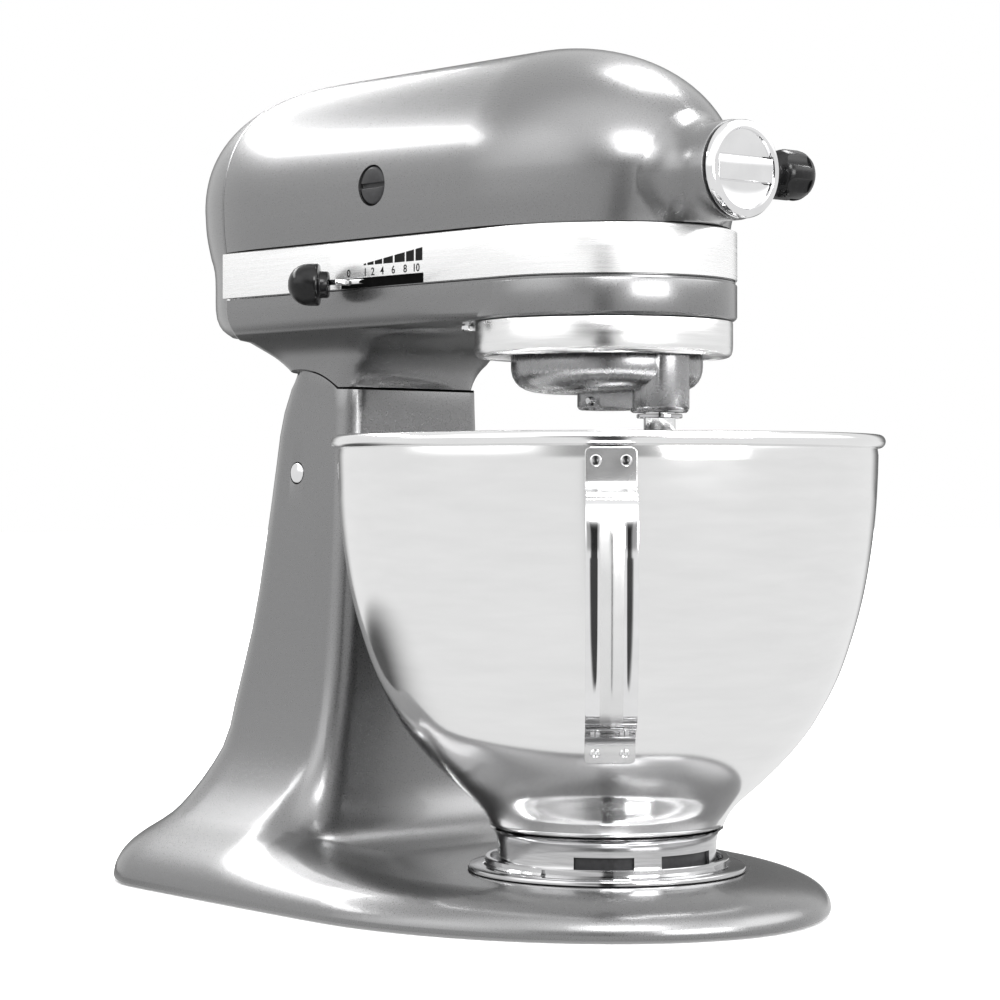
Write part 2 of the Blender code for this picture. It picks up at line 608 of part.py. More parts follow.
case_rings = [case_ring(z, smooth_step(LOW_HALF, z), smooth_step(LOW_FRONT, z), smooth_step(LOW_REAR, z)) for z in (205, 214, 218, 222, 226, 230, 233, 236, 238.9)]
case_rings += [case_ring(z, smooth_step(LOW_HALF, z), COLLAR_Y - smooth_step(LOW_HALF, z), 188.7) for z in (239.6, 243, 246.5, 249.5, 254.6)]
case_rings += [case_ring(z, BAND_R - 1.3, COLLAR_Y - BAND_R + 1.3, 188.7) for z in (255.0, SEAM_Z)]
case_rings[9] = case_ring(239.4, 49.0, COLLAR_Y - 49.0, 188.7)
case = lofted("lower_gearcase", case_rings, (0, PIN_Y, PIN_Z), PAINT, "tilt_axis")
collar = turned("collar", [(0, 253.6), (BAND_R, 253.6), (BAND_R, 240.2), (BAND_R - 1.2, 239), (0, 239)], 0, COLLAR_Y, 0, sides=40, helper=True)
neck_cut = cylinder("neck_cut", -60, PIN_Y, PIN_Z, "X", 120, NECK_R + NECK_GAP, helper=True, sides=96)
neck_step = block("neck_step", (-60, 90, 190), (60, 128.3, NECK_STEP_Z + 2.0), helper=True)
lug = slab(
    "hinge_lug",
    arc(PIN_Y, PIN_Z, 15.0, -140, 0, 12) + [(166.5, 200), (163.5, 231.3), (128.5, 231.3), (128.5, 178.6)],
    SIDEWAYS, -31.0, 26.0, at(0, 0, 0), helper=True,
)
lug_bore = cylinder("lug_bore", -70, PIN_Y, PIN_Z, "X", 140, PIN_R + 0.35, helper=True)
peg = cylinder("lock_peg", 20, 131.6, 182.0, "X", 11.0, 2.4, helper=True, sides=16)
tub = [case_ring(z, 48.6 - w, COLLAR_Y - 48.6 + w, 183.5) for z, w in ((243.4, 4.0), (247.5, 0.0), (290, 0.0))]
case_hollow = lofted("case_hollow", tub, (0, 100, 260), helper=True)
shaft_bore = cylinder("centre_bore", 0, 0, 200, "Z", 60, 6.4, helper=True, sides=28)
bearing_post = cylinder("pinion_post", WHEEL_X, WHEEL_Y, 242, "Z", 13.6, 8.0, helper=True, sides=20)
slot = block("speed_slot", (-70, 47.3, BAND_LOW + 0.7), (-43, 108.7, 259.7), helper=True)
join(cut(case, neck_cut, neck_step), collar, lug, peg)
cut(case, lug_bore, case_hollow, shaft_bore, slot)
join(case, bearing_post)
for side, x in (("right", 28), ("left", -28)):
    cut(case, cylinder(f"case_tap_{side}", x, 53, 236, "Z", 14, 2.3, helper=True, sides=16))
    turned(f"case_screw_{side}", [(0, 2.8), (2.6, 2.7), (3.4, 2.0), (3.4, 0.5), (2.0, 0.5), (2.0, -5), (0, -5)], x, 53, 238.9, "-Z", 12, STEEL, "tilt_axis")


# trim band: a thin strip bent round three sides of the case
def band_path(r, rear, steps=14):
    path = [(r, rear)]
    for i in range(2 * steps + 1):
        turn = math.radians(90.0 - 180.0 * i / (2 * steps))
        path.append((r * math.sin(turn), COLLAR_Y - r * math.cos(turn)))
    return path + [(-r, rear)]


outer, inner = band_path(BAND_R, 188.4), band_path(BAND_R - 1.0, 188.4)
LEVEL = Matrix.Translation((0, -Y_MID / 1000.0, 0))
band = slab("trim_band", outer + inner[::-1], LEVEL, BAND_LOW, BAND_HIGH, Vector((0, 0, 0)), SATIN, "tilt_axis")
cut(band, block("band_notch", (-70, 51.4, 240), (-44, 105.2, 259.2), helper=True))

# drip ring and the fixed internal gear above the planetary
turned(
    "drip_ring",
    [(43.0, 238.7), (52.6, 238.7), (52.6, 227.5), (51.9, 225.3), (50.2, 224.2), (48.6, 224.4), (48.6, 236.6), (43.0, 236.6)],
    0, COLLAR_Y, 0, sides=40, look=SATIN, parent="tilt_axis", ring=True,
)


def gear_outline(teeth, module, internal=False, thin=0.27, shift=0.0):
    """Teeth whose flanks lean at the pressure angle, thinned for running backlash."""
    pitch = teeth * module / 2
    step = 2 * math.pi / teeth
    outward = -1 if internal else 1
    root, tip = pitch - outward * 1.12 * module, pitch + outward * 0.9 * module
    points = []
    for i in range(teeth):
        middle = step * (i + shift)
        for radius, side in ((root, -1), (tip, -1), (tip, 1), (root, 1)):
            width = (math.pi * module / 2 - thin * module - 2 * 0.364 * outward * (radius - pitch)) / radius
            points.append((radius * math.cos(middle + side * width / 2), radius * math.sin(middle + side * width / 2)))
    return points


def tooth_at(turn, teeth, gap=False):
    """The share of a tooth step that puts a tooth, or a gap, in one direction."""
    return (turn / (2 * math.pi / teeth) + (0.5 if gap else 0.0)) % 1.0


def gear(name, teeth, x, y, low, high, bore, look, parent, shift=0.0, module=MODULE, helper=False, aim=None):
    made = slab(name, gear_outline(teeth, module, shift=shift), aim or Matrix.Identity(4), low, high, at(x, y, 0), look, parent, helper)
    if bore:
        cut(made, cylinder(f"{name}_bore", x, y, low - 5, "Z", high - low + 10, bore, helper=True, sides=24))
    return made


turned("internal_ring_gear", [(0, 238.7), (40.4, 238.7), (40.4, 236.4), (39.0, 236.0), (39.0, 227.0), (0, 227.0)], 0, 0, 0, sides=30, look=IRON, parent="tilt_axis")
ring_gear = bpy.data.objects["internal_ring_gear"]
TO_AGITATOR = math.atan2(AGITATOR_Y, AGITATOR_X)
ring_cut = slab("ring_gear_space", gear_outline(54, MODULE, internal=True, shift=tooth_at(TO_AGITATOR, 54, gap=True)), Matrix.Identity(4), 220, 244, at(0, 0, 0), helper=True)
cut(ring_gear, ring_cut)

# ---- motor, fixed parts ----
turned("motor_stator", [(23.4, 58), (36, 58), (38, 56), (38, 2), (36, 0), (23.4, 0)], 0, 103, HEAD_Z, "Y", 28, IRON, "tilt_axis", ring=True)
rear_bearing = turned("rear_bearing", [(0, 5), (15, 5), (15, 0), (0, 0)], 0, 182.9, HEAD_Z, "Y", 28, ALLOY, "tilt_axis")
join(rear_bearing, block("bearing_bar", (-47.6, 183.1, 291), (47.6, 187.7, 303), helper=True))
cut(rear_bearing, cylinder("rear_bearing_bore", 0, 170, HEAD_Z, "Y", 40, 4.3, helper=True, sides=24))
bracket = block("gearbox_bracket", (-27, 15.2, 306.6), (34, 46, 309.6), ALLOY, "tilt_axis", origin=(0, 30, 300))
join(
    bracket,
    block("bracket_leg", (-8, 15.2, 288.6), (8, 18.0, 308), helper=True),
    block("bracket_post", (-27, 36, 243.8), (-21, 46, 308), helper=True),
)
cut(bracket, cylinder("bracket_bore", 0, 10, HEAD_Z, "Y", 12, 3.4, helper=True, sides=20), cylinder("bracket_top_bore", WHEEL_X, WHEEL_Y, 300, "Z", 12, 4.3, helper=True, sides=20))
block("speed_control_plate", (-36, 190.6, 262), (-12, 196, 286), PLASTIC, "tilt_axis", bevel=0.8)
for side, x in (("right", 1), ("left", -1)):
    aim = "X" if x > 0 else "-X"
    holder = block(f"brush_holder_{side}", (min(x * 18, x * 50), BRUSH_Y - 6, HEAD_Z - 6), (max(x * 18, x * 50), BRUSH_Y + 6, HEAD_Z + 6), BRASS, "tilt_axis")
    cut(holder, block(f"brush_way_{side}", (min(x * 10, x * 60), BRUSH_Y - 3.6, HEAD_Z - 3.6), (max(x * 10, x * 60), BRUSH_Y + 3.6, HEAD_Z + 3.6), helper=True))
    block(f"brush_{side}", (min(x * 10.5, x * 34), BRUSH_Y - 3.2, HEAD_Z - 3.2), (max(x * 10.5, x * 34), BRUSH_Y + 3.2, HEAD_Z + 3.2), CARBON, "tilt_axis", bevel=0.3)
    cap = turned(f"brush_cap_{side}", [(0, 5.6), (6.9, 5.6), (8.1, 4.6), (8.1, 0), (0, 0)], x * 50.6, BRUSH_Y, HEAD_Z, aim, 28, BLACK, "tilt_axis")
    cut(cap, block(f"cap_slot_{side}", (min(x * 54.6, x * 60), BRUSH_Y - 9, HEAD_Z - 0.9), (max(x * 54.6, x * 60), BRUSH_Y + 9, HEAD_Z + 0.9), helper=True))

# ---- armature: shaft with its worm, core, commutator, fan ----
shaft = turned(
    "armature_shaft",
    [(0, 175.5), (4.0, 175.5), (4.0, 34.0), (3.6, 30.5), (3.6, 4.0), (3.1, 3.0), (3.1, 0), (0, 0)],
    0, 15.4, HEAD_Z, "Y", 12, STEEL, "armature_axis",
)
LEAD = 2 * math.pi * MODULE


WORM_START = WHEEL_Y - 3 * math.pi * MODULE  # a thread crosses the line to the wheel's middle


def worm_rings(start, y_low, turns, steps_per_turn=8):
    """One start of the worm as a ridge wound round the shaft."""
    rings = []
    for i in range(int(turns * steps_per_turn) + 1):
        turn = 2 * math.pi * i / steps_per_turn
        y = y_low + LEAD * i / steps_per_turn
        ring = []
        for r, w in ((2.6, 0.0), (4.5, -1.25), (WORM_R + 1.05, -0.42), (WORM_R + 1.05, 0.42), (4.5, 1.25)):
            angle = turn + math.pi * start
            ring.append((r * math.cos(angle), y + w, HEAD_Z + r * math.sin(angle)))
        rings.append(ring)
    return rings


for start in (0, 1):
    join(shaft, lofted(f"worm_thread_{start}", worm_rings(start, WORM_START, 2.7), (0, 30, HEAD_Z), helper=True))
turned("armature_core", [(4.3, 56), (20.5, 56), (22.4, 54.5), (22.4, 1.5), (20.5, 0), (4.3, 0)], 0, 104.5, HEAD_Z, "Y", 20, COPPER, "armature_axis", ring=True)
turned("commutator", [(4.3, 18), (10.0, 18), (10.0, 3), (11.4, 2), (11.4, 0), (4.3, 0)], 0, 74, HEAD_Z, "Y", 20, COPPER, "armature_axis", ring=True)
fan_outline = []
for i in range(11):
    middle = 2 * math.pi * i / 11
    for r, turn in ((11, -0.17), (30, -0.02), (30, 0.14), (11, 0.1)):
        fan_outline.append((r * math.cos(middle + turn), r * math.sin(middle + turn)))
fan = slab("cooling_fan", fan_outline, FRONTWARDS, 0, 9, at(0, 168, HEAD_Z), PLASTIC, "armature_axis")
join(fan, cylinder("fan_disc", 0, 175, HEAD_Z, "Y", 2.4, 30.6, helper=True, sides=32))
cut(fan, cylinder("fan_bore", 0, 160, HEAD_Z, "Y", 30, 4.3, helper=True, sides=20))

# ---- worm wheel on its pinion shaft ----
TILT = math.degrees(math.atan(LEAD / (2 * math.pi * WORM_R)))
wheel_levels = (294.2, 299.8)
wheel_rings = []
for z in wheel_levels:
    slide = -(z - HEAD_Z) * math.tan(math.radians(TILT)) / (13 * MODULE)
    outline = gear_outline(26, MODULE, shift=0.5)
    wheel_rings.append([(WHEEL_X + u * math.cos(slide) - w * math.sin(slide), WHEEL_Y + u * math.sin(slide) + w * math.cos(slide), z) for u, w in outline])
wheel = lofted("worm_wheel", wheel_rings, (WHEEL_X, WHEEL_Y, HEAD_Z), BRASS, "worm_wheel_axis")
join(wheel, cylinder("wheel_journal", WHEEL_X, WHEEL_Y, 298, "Z", 10.4, 4.0, helper=True, sides=18))
TO_WHEEL = math.atan2(WHEEL_Y, WHEEL_X)
pinion = gear("wheel_pinion_shaft", 14, WHEEL_X, WHEEL_Y, 260, 268, 0, STEEL, "worm_wheel_axis", shift=tooth_at(TO_WHEEL + math.pi, 14, gap=True))
join(pinion, cylinder("pinion_stem", WHEEL_X, WHEEL_Y, 256, "Z", 37.9, 4.0, helper=True, sides=18))

# ---- planetary: housing, centre shaft and its gears ----
housing = turned(
    "planetary_housing",
    [(0, 226.2), (37.8, 226.2), (39.0, 225.0), (39.0, 219.5), (38.2, 216.0), (35.6, 212.6), (30.6, 210.2), (0, 209.0)],
    0, 0, 0, sides=32, look=ALLOY, parent="planetary_axis",
)
nose_outline = []
join(
    housing,
    cylinder("agitator_boss", AGITATOR_X, AGITATOR_Y, 201.6, "Z", 16, 12.0, helper=True, sides=22),
    cylinder("middle_boss", 0, 0, 203.0, "Z", 14, 12.0, helper=True, sides=22),
)
web = slab(
    "boss_web",
    [(0, -11.2), (25, -11.2), (25, 11.2), (0, 11.2)],
    Matrix.Rotation(TO_AGITATOR, 4, "Z"), 203.4, 215, at(0, 0, 0), helper=True,
)
join(housing, web)
cut(
    housing,
    cylinder("agitator_bore", AGITATOR_X, AGITATOR_Y, 190, "Z", 60, 6.8, helper=True, sides=18),
    cylinder("planet_centre_bore", 0, 0, 212.7, "Z", 30, 6.5, helper=True, sides=18),
    cylinder("pin_bore", -30, -3, 206.6, "X", 22, 1.9, helper=True, sides=16),
)
cylinder("planetary_pin", -13.6, -3, 206.6, "X", 5.2, 1.6, STEEL, "planetary_axis", sides=16)
turned("centre_shaft", [(0, 281.4), (3.9, 281.4), (3.9, 268.6), (6.0, 268.6), (6.0, 213), (0, 213)], 0, 0, 0, sides=24, look=STEEL, parent="planetary_axis")
gear("centre_gear", 48, 0, 0, 260, 268.2, 6.3, IRON, "planetary_axis", shift=tooth_at(TO_WHEEL, 48))


def bevel_rings(teeth, cone, face, shift, place):
    """A bevel gear as rings between two back cones about the shafts' crossing point."""
    rings = []
    for scale in (1.0, 1.0 - face / cone):
        ring = []
        for u, w in gear_outline(teeth, cone * 2 / teeth, thin=0.3, shift=shift):
            r = math.hypot(u, w)
            lift = (r - cone) * math.sqrt(0.5)
            size = scale * (cone + lift) / r
            ring.append(place(u * size, w * size, (cone - lift) * scale))
        rings.append(ring)
    return rings


centre_bevel = lofted(
    "centre_bevel_gear",
    bevel_rings(16, 12.0, 4.4, 0.5, lambda u, w, d: (u, w, HUB_Z - d)),
    (0, 0, HUB_Z), STEEL, "planetary_axis",
)
hub_bevel = lofted(
    "hub_bevel_gear",
    bevel_rings(16, 12.0, 4.4, 0.0, lambda u, w, d: (u, -d, HUB_Z + w)),
    (0, 0, HUB_Z), STEEL, "hub_axis",
)
socket = turned("hub_drive_shaft", [(0, 42.6), (9.6, 42.6), (9.6, 25), (6.0, 22), (6.0, 3), (3.9, 2), (3.9, 0), (0, 0)], 0, -13.6, HUB_Z, "-Y", 24, STEEL, "hub_axis")
cut(socket, block("socket_square", (-4.4, -70, HUB_Z - 4.4), (4.4, -40, HUB_Z + 4.4), helper=True))

# ---- agitator shaft, its pinion and the pin that drives a beater ----
agitator = turned(
    "agitator_shaft",
    [(0, 237.2), (4.2, 237.2), (4.2, 226.6), (6.35, 226.6), (6.35, 167.2), (5.2, 165.4), (0, 165)],
    AGITATOR_X, AGITATOR_Y, 0, sides=24, look=STEEL, parent="agitator_axis",
)
cut(agitator, cylinder("cross_hole", AGITATOR_X - 20, AGITATOR_Y, 184, "X", 40, 1.9, helper=True, sides=16))
cylinder("agitator_cross_pin", AGITATOR_X - 9.6, AGITATOR_Y, 184, "X", 19.2, 1.6, STEEL, "agitator_axis", sides=16)
gear("agitator_pinion", 14, AGITATOR_X, AGITATOR_Y, 227.2, 236.2, 4.5, IRON, "agitator_axis", shift=tooth_at(TO_AGITATOR, 14))
turned("agitator_washer", [(6.65, 201.2), (9.2, 201.2), (9.2, 199.4), (6.65, 199.4)], AGITATOR_X, AGITATOR_Y, 0, sides=20, look=STEEL, parent="agitator_axis", ring=True)

# ---- attachment hub cap and its clamping knob ----
hub_cap = turned(
    "hub_cap",
    [(0, 3.2), (14.6, 3.2), (15.4, 3.9), (17.8, 3.9), (19.0, 2.9), (19.2, 0), (15.2, 0), (15.2, -7), (0, -7)],
    0, -74.1, HUB_Z, "-Y", 36, CHROME, "hub_cap_slide",
)
join(hub_cap, block("cap_bar", (-15.0, -77.9, HUB_Z - 4.6), (15.0, -75, HUB_Z + 4.6), helper=True))
turned("attachment_stem", [(0, 9.6), (3.1, 9.6), (3.1, 1.0), (2.4, 0), (0, 0)], 16.2, -62, 296.6, "X", 20, STEEL, "knob_axis")
knob = turned(
    "attachment_knob",
    [(0, 22.6), (7.6, 22.4), (9.4, 20.8), (10.3, 17.2), (10.3, 8.6), (8.4, 5.8), (5.6, 4.8), (5.6, 0), (0, 0)],
    26.1, -62, 296.6, "X", 8, BLACK, "knob_axis",
)
knob.modifiers["Turn"].steps = knob.modifiers["Turn"].render_steps = 16

# ---- speed lever ----
arm = block("speed_lever_arm", (-63.5, 97.0, 256.2), (-44, 102.0, 258.6), CHROME, "speed_slide", origin=(-54, 99.7, 257.2))
join(arm, block("lever_pointer", (-58.6, 87.6, 256.4), (-55.6, 99.0, 258.4), helper=True))
turned(
    "speed_lever_knob",
    [(0, 22.4), (4.4, 21.6), (7.0, 19.2), (8.5, 15.4), (8.9, 11.0), (8.6, 7.4), (7.6, 5.4), (5.7, 4.6), (5.5, 0.4), (0, 0)],
    -67.6, 95.8, 256.6, "Y", 20, BLACK, "speed_slide",
)
lever_knob = bpy.data.objects["speed_lever_knob"]
cut(lever_knob, block("knob_socket", (-63.9, 90, 255.8), (-40, 130, 259.0), helper=True))

# ---- head lock: a slide in the right side of the column, and the catch over the lug's peg ----
lock = block("lock_lever_arm", (27.8, 141.4, 186.2), (44.4, 149.4, 189.2), STEEL, "lock_slide", origin=(40, 145, 188))
turned("lock_lever_knob", [(0, 11), (4.4, 10.6), (6.2, 8.6), (6.2, 2.0), (5.4, 0), (0, 0)], 44.8, 145.4, 187.7, "X", 20, BLACK, "lock_slide")
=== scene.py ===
"""Looks for the tilt-head stand mixer: finer surfaces, materials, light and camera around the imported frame.

Lengths are in millimetres on the bowl's axis (X right, Y to the rear, Z up), placed in metres with P().
"""

import math

import bmesh
import bpy
from mathutils import Matrix, Vector


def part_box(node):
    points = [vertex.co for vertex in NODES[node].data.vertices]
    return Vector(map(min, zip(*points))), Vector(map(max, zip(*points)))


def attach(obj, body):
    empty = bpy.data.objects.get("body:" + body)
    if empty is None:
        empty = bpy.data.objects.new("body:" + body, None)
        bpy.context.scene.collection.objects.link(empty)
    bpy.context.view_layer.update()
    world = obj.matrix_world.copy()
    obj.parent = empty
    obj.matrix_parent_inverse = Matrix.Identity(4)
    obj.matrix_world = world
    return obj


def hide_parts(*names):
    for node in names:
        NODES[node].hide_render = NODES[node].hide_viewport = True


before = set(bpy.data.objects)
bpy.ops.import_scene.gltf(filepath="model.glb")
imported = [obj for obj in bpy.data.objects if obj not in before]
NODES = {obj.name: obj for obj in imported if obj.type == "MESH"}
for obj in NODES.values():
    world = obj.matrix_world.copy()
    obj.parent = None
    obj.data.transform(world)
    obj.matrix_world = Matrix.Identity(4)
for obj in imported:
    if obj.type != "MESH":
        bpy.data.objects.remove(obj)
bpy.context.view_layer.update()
Y_MID = 63.75


def P(x, y, z):
    return Vector((x / 1000.0, (y - Y_MID) / 1000.0, z / 1000.0))


# ---------------------------------------------------------------- materials
def new_material(name):
    made = bpy.data.materials.new(name)
    made.use_nodes = True
    tree = made.node_tree
    return made, tree, tree.nodes["Principled BSDF"]


def add(tree, kind, **values):
    node = tree.nodes.new(kind)
    for key, value in values.items():
        if key in node.inputs:
            node.inputs[key].default_value = value
        else:
            setattr(node, key, value)
    return node


def noise(tree, scale, detail=3.0, stretch=(1, 1, 1)):
    where = add(tree, "ShaderNodeTexCoord")
    mapping = add(tree, "ShaderNodeMapping")
    mapping.inputs["Scale"].default_value = stretch
    tree.links.new(where.outputs["Object"], mapping.inputs["Vector"])
    made = add(tree, "ShaderNodeTexNoise", Scale=scale, Detail=detail)
    tree.links.new(mapping.outputs["Vector"], made.inputs["Vector"])
    return made


def ramp(tree, source, low, high, start=0.3, end=0.7):
    made = add(tree, "ShaderNodeMapRange")
    made.inputs["From Min"].default_value = start
    made.inputs["From Max"].default_value = end
    made.inputs["To Min"].default_value = low
    made.inputs["To Max"].default_value = high
    tree.links.new(source, made.inputs["Value"])
    return made.outputs["Result"]


def tint(tree, source, dark, light):
    made = add(tree, "ShaderNodeMix", data_type="RGBA")
    made.inputs[6].default_value = (*dark, 1)
    made.inputs[7].default_value = (*light, 1)
    tree.links.new(source, made.inputs[0])
    return made.outputs[2]


def bump(tree, shader, source, strength, distance):
    made = add(tree, "ShaderNodeBump", Strength=strength, Distance=distance)
    tree.links.new(source, made.inputs["Height"])
    tree.links.new(made.outputs["Normal"], shader.inputs["Normal"])


def surface(name, dark, light, metallic, rough, grain=(300, 3.0, (1, 1, 1)), relief=None, coat=None, sheen_rough=None, spread=(0.3, 0.7), ior=None):
    """A material whose colour and roughness vary with an object-space grain."""
    made, tree, shader = new_material(name)
    texture = noise(tree, *grain)
    mixed = ramp(tree, texture.outputs["Fac"], 0.0, 1.0, *spread)
    tree.links.new(tint(tree, mixed, dark, light), shader.inputs["Base Color"])
    tree.links.new(ramp(tree, texture.outputs["Fac"], rough[0], rough[1]), shader.inputs["Roughness"])
    shader.inputs["Metallic"].default_value = metallic
    if coat:
        shader.inputs["Coat Weight"].default_value = coat[0]
        shader.inputs["Coat Roughness"].default_value = coat[1]
    if ior:
        shader.inputs["IOR"].default_value = ior
    if relief:
        scale, strength, distance = relief
        bump(tree, shader, noise(tree, scale, 2.0).outputs["Fac"], strength, distance)
    return made


PAINT = surface("silver_paint", (0.2, 0.2, 0.202), (0.224, 0.224, 0.226), 0.86, (0.27, 0.3), (1800, 1.5, (1, 1, 1)), (30, 0.01, 0.0002), (0.45, 0.08))
STEEL = surface("polished_steel", (0.81, 0.81, 0.81), (0.85, 0.85, 0.85), 1.0, (0.09, 0.13), (30, 3.0, (1, 1, 6)), (22, 0.004, 0.0001))
FOOT_STEEL = surface("turned_steel", (0.48, 0.48, 0.485), (0.6, 0.6, 0.605), 1.0, (0.07, 0.14), (60, 3.0, (1, 1, 14)), (60, 0.01, 0.0001))
CHROME = surface("chrome", (0.78, 0.78, 0.785), (0.84, 0.84, 0.845), 1.0, (0.04, 0.08), (90, 3.0, (1, 1, 1)), (45, 0.004, 0.0001))
SATIN = surface("satin_band", (0.86, 0.86, 0.86), (0.9, 0.9, 0.9), 0.75, (0.24, 0.3), (90, 3.0, (0.2, 0.2, 12)), (400, 0.01, 0.00002))
RING = surface("satin_ring", (0.81, 0.81, 0.81), (0.86, 0.86, 0.86), 1.0, (0.19, 0.25), (120, 3.0, (0.4, 0.4, 8)), (300, 0.01, 0.00002))
ALLOY = surface("cast_alloy", (0.3, 0.3, 0.305), (0.325, 0.325, 0.33), 0.92, (0.25, 0.29), (300, 1.5, (1, 1, 1)))
BLACK = surface("black_plastic", (0.004, 0.004, 0.0042), (0.007, 0.007, 0.0075), 0.0, (0.17, 0.25), (500, 3.0, (1, 1, 1)), (220, 0.03, 0.0001), None, ior=1.36)
# dark grey plastic of the brush caps; it also colours the painted shade ring inside the bowl foot
DARK = surface("dark_grey_plastic_and_painted_shade", (0.02, 0.02, 0.021), (0.03, 0.03, 0.032), 0.0, (0.3, 0.42), (600, 3.0, (1, 1, 1)), (300, 0.05, 0.0001), ior=1.4)
RUBBER = surface("rubber", (0.018, 0.018, 0.018), (0.032, 0.032, 0.032), 0.0, (0.6, 0.8), (800, 4.0, (1, 1, 1)), (500, 0.15, 0.0002))
INK = surface("printed_ink", (0.004, 0.004, 0.004), (0.009, 0.009, 0.009), 0.0, (0.45, 0.6), (900, 3.0, (1, 1, 1)), ior=1.2)
IRON = surface("iron", (0.22, 0.22, 0.23), (0.34, 0.34, 0.35), 1.0, (0.38, 0.52), (400, 4.0, (1, 1, 1)), (300, 0.1, 0.0002))
BRASS = surface("brass", (0.62, 0.43, 0.16), (0.78, 0.56, 0.24), 1.0, (0.24, 0.36), (300, 3.0, (1, 1, 4)))
COPPER = surface("copper", (0.62, 0.29, 0.15), (0.78, 0.4, 0.22), 1.0, (0.28, 0.42), (300, 3.0, (1, 6, 1)))
PLASTIC = surface("fibre_plastic", (0.52, 0.5, 0.44), (0.64, 0.62, 0.56), 0.0, (0.42, 0.56), (500, 3.0, (1, 1, 1)))
CARBON = surface("carbon", (0.03, 0.03, 0.03), (0.06, 0.06, 0.06), 0.0, (0.6, 0.8), (900, 4.0, (1, 1, 1)))
INSIDE = surface("inner_shadow", (0.002, 0.002, 0.002), (0.004, 0.004, 0.004), 0.0, (0.7, 0.9), (400, 2.0, (1, 1, 1)), ior=1.08)

TAB = surface("satin_tab", (0.72, 0.72, 0.72), (0.78, 0.78, 0.78), 0.95, (0.22, 0.28), (60, 2.0, (1, 1, 1)))

HIDDEN = {
    "internal_ring_gear": IRON, "motor_stator": IRON, "rear_bearing": ALLOY, "gearbox_bracket": ALLOY, "speed_control_plate": PLASTIC,
    "brush_holder_right": BRASS, "brush_holder_left": BRASS, "brush_right": CARBON, "brush_left": CARBON, "armature_shaft": FOOT_STEEL,
    "armature_core": COPPER, "commutator": COPPER, "cooling_fan": PLASTIC, "worm_wheel": BRASS, "wheel_pinion_shaft": FOOT_STEEL,
    "centre_shaft": FOOT_STEEL, "centre_gear": IRON, "centre_bevel_gear": FOOT_STEEL, "hub_bevel_gear": FOOT_STEEL,
    "hub_drive_shaft": FOOT_STEEL, "agitator_pinion": IRON, "lock_lever_arm": FOOT_STEEL,
}
LOOKS = [
    ("foot_", RUBBER), ("brush_cap", BLACK), ("case_screw", FOOT_STEEL), ("clamp_screw", FOOT_STEEL), ("clamp", FOOT_STEEL),
    ("bowl", STEEL), ("handle", STEEL), ("trim", SATIN), ("drip", RING), ("planetary_pin", FOOT_STEEL), ("planetary", ALLOY), ("agitator", FOOT_STEEL),
    ("hub_cap", CHROME), ("stem", FOOT_STEEL), ("knob", BLACK), ("arm", CHROME), ("hinge_pin", CHROME), ("screw", FOOT_STEEL), ("grommet", RUBBER),
]
for node_name, node in NODES.items():
    look = HIDDEN.get(node_name) or next((m for key, m in LOOKS if key in node_name), PAINT)
    node.data.materials.clear()
    node.data.materials.append(look)


# ---------------------------------------------------------------- mesh helpers
def settle(obj, angle=32):
    """Applies the object's modifiers and shades it smooth up to an angle."""
    bpy.context.view_layer.update()
    graph = bpy.context.evaluated_depsgraph_get()
    mesh = bpy.data.meshes.new_from_object(obj.evaluated_get(graph), depsgraph=graph)
    obj.modifiers.clear()
    obj.data = mesh
    mesh.shade_smooth()
    mesh.set_sharp_from_angle(angle=math.radians(angle))
    return obj


def from_bmesh(name, bm, look=None):
    mesh = bpy.data.meshes.new(name)
    bm.normal_update()
    bm.to_mesh(mesh)
    bm.free()
    obj = bpy.data.objects.new(name, mesh)
    bpy.context.scene.collection.objects.link(obj)
    if look:
        mesh.materials.append(look)
    return obj


def piece(obj, body, *replaced):
    """Puts a finished mesh on a body, and hides the CAD nodes that it stands for."""
    for node_name in replaced:
        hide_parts(node_name)
    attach(obj, body)
    return obj


def loft(name, rings, look=None, caps=True):
    bm = bmesh.new()
    rows = [[bm.verts.new(P(*point)) for point in ring] for ring in rings]
    count = len(rows[0])
    for lower, upper in zip(rows, rows[1:]):
        for i in range(count):
            j = (i + 1) % count
            bm.faces.new((lower[i], lower[j], upper[j], upper[i]))
    if caps:
        bmesh.ops.poke(bm, faces=[bm.faces.new(rows[0]), bm.faces.new(rows[-1])])
    bmesh.ops.remove_doubles(bm, verts=bm.verts, dist=1e-6)
    bmesh.ops.recalc_face_normals(bm, faces=bm.faces)
    if caps and bm.calc_volume(signed=True) < 0:
        bmesh.ops.reverse_faces(bm, faces=bm.faces)
    return from_bmesh(name, bm, look)


AIM = {
    "Z": Matrix.Identity(4),
    "-Z": Matrix.Rotation(math.pi, 4, "X"),
    "X": Matrix.Rotation(math.radians(90), 4, "Y"),
    "-X": Matrix.Rotation(math.radians(-90), 4, "Y"),
    "Y": Matrix.Rotation(math.radians(-90), 4, "X"),
    "-Y": Matrix.Rotation(math.radians(90), 4, "X"),
}


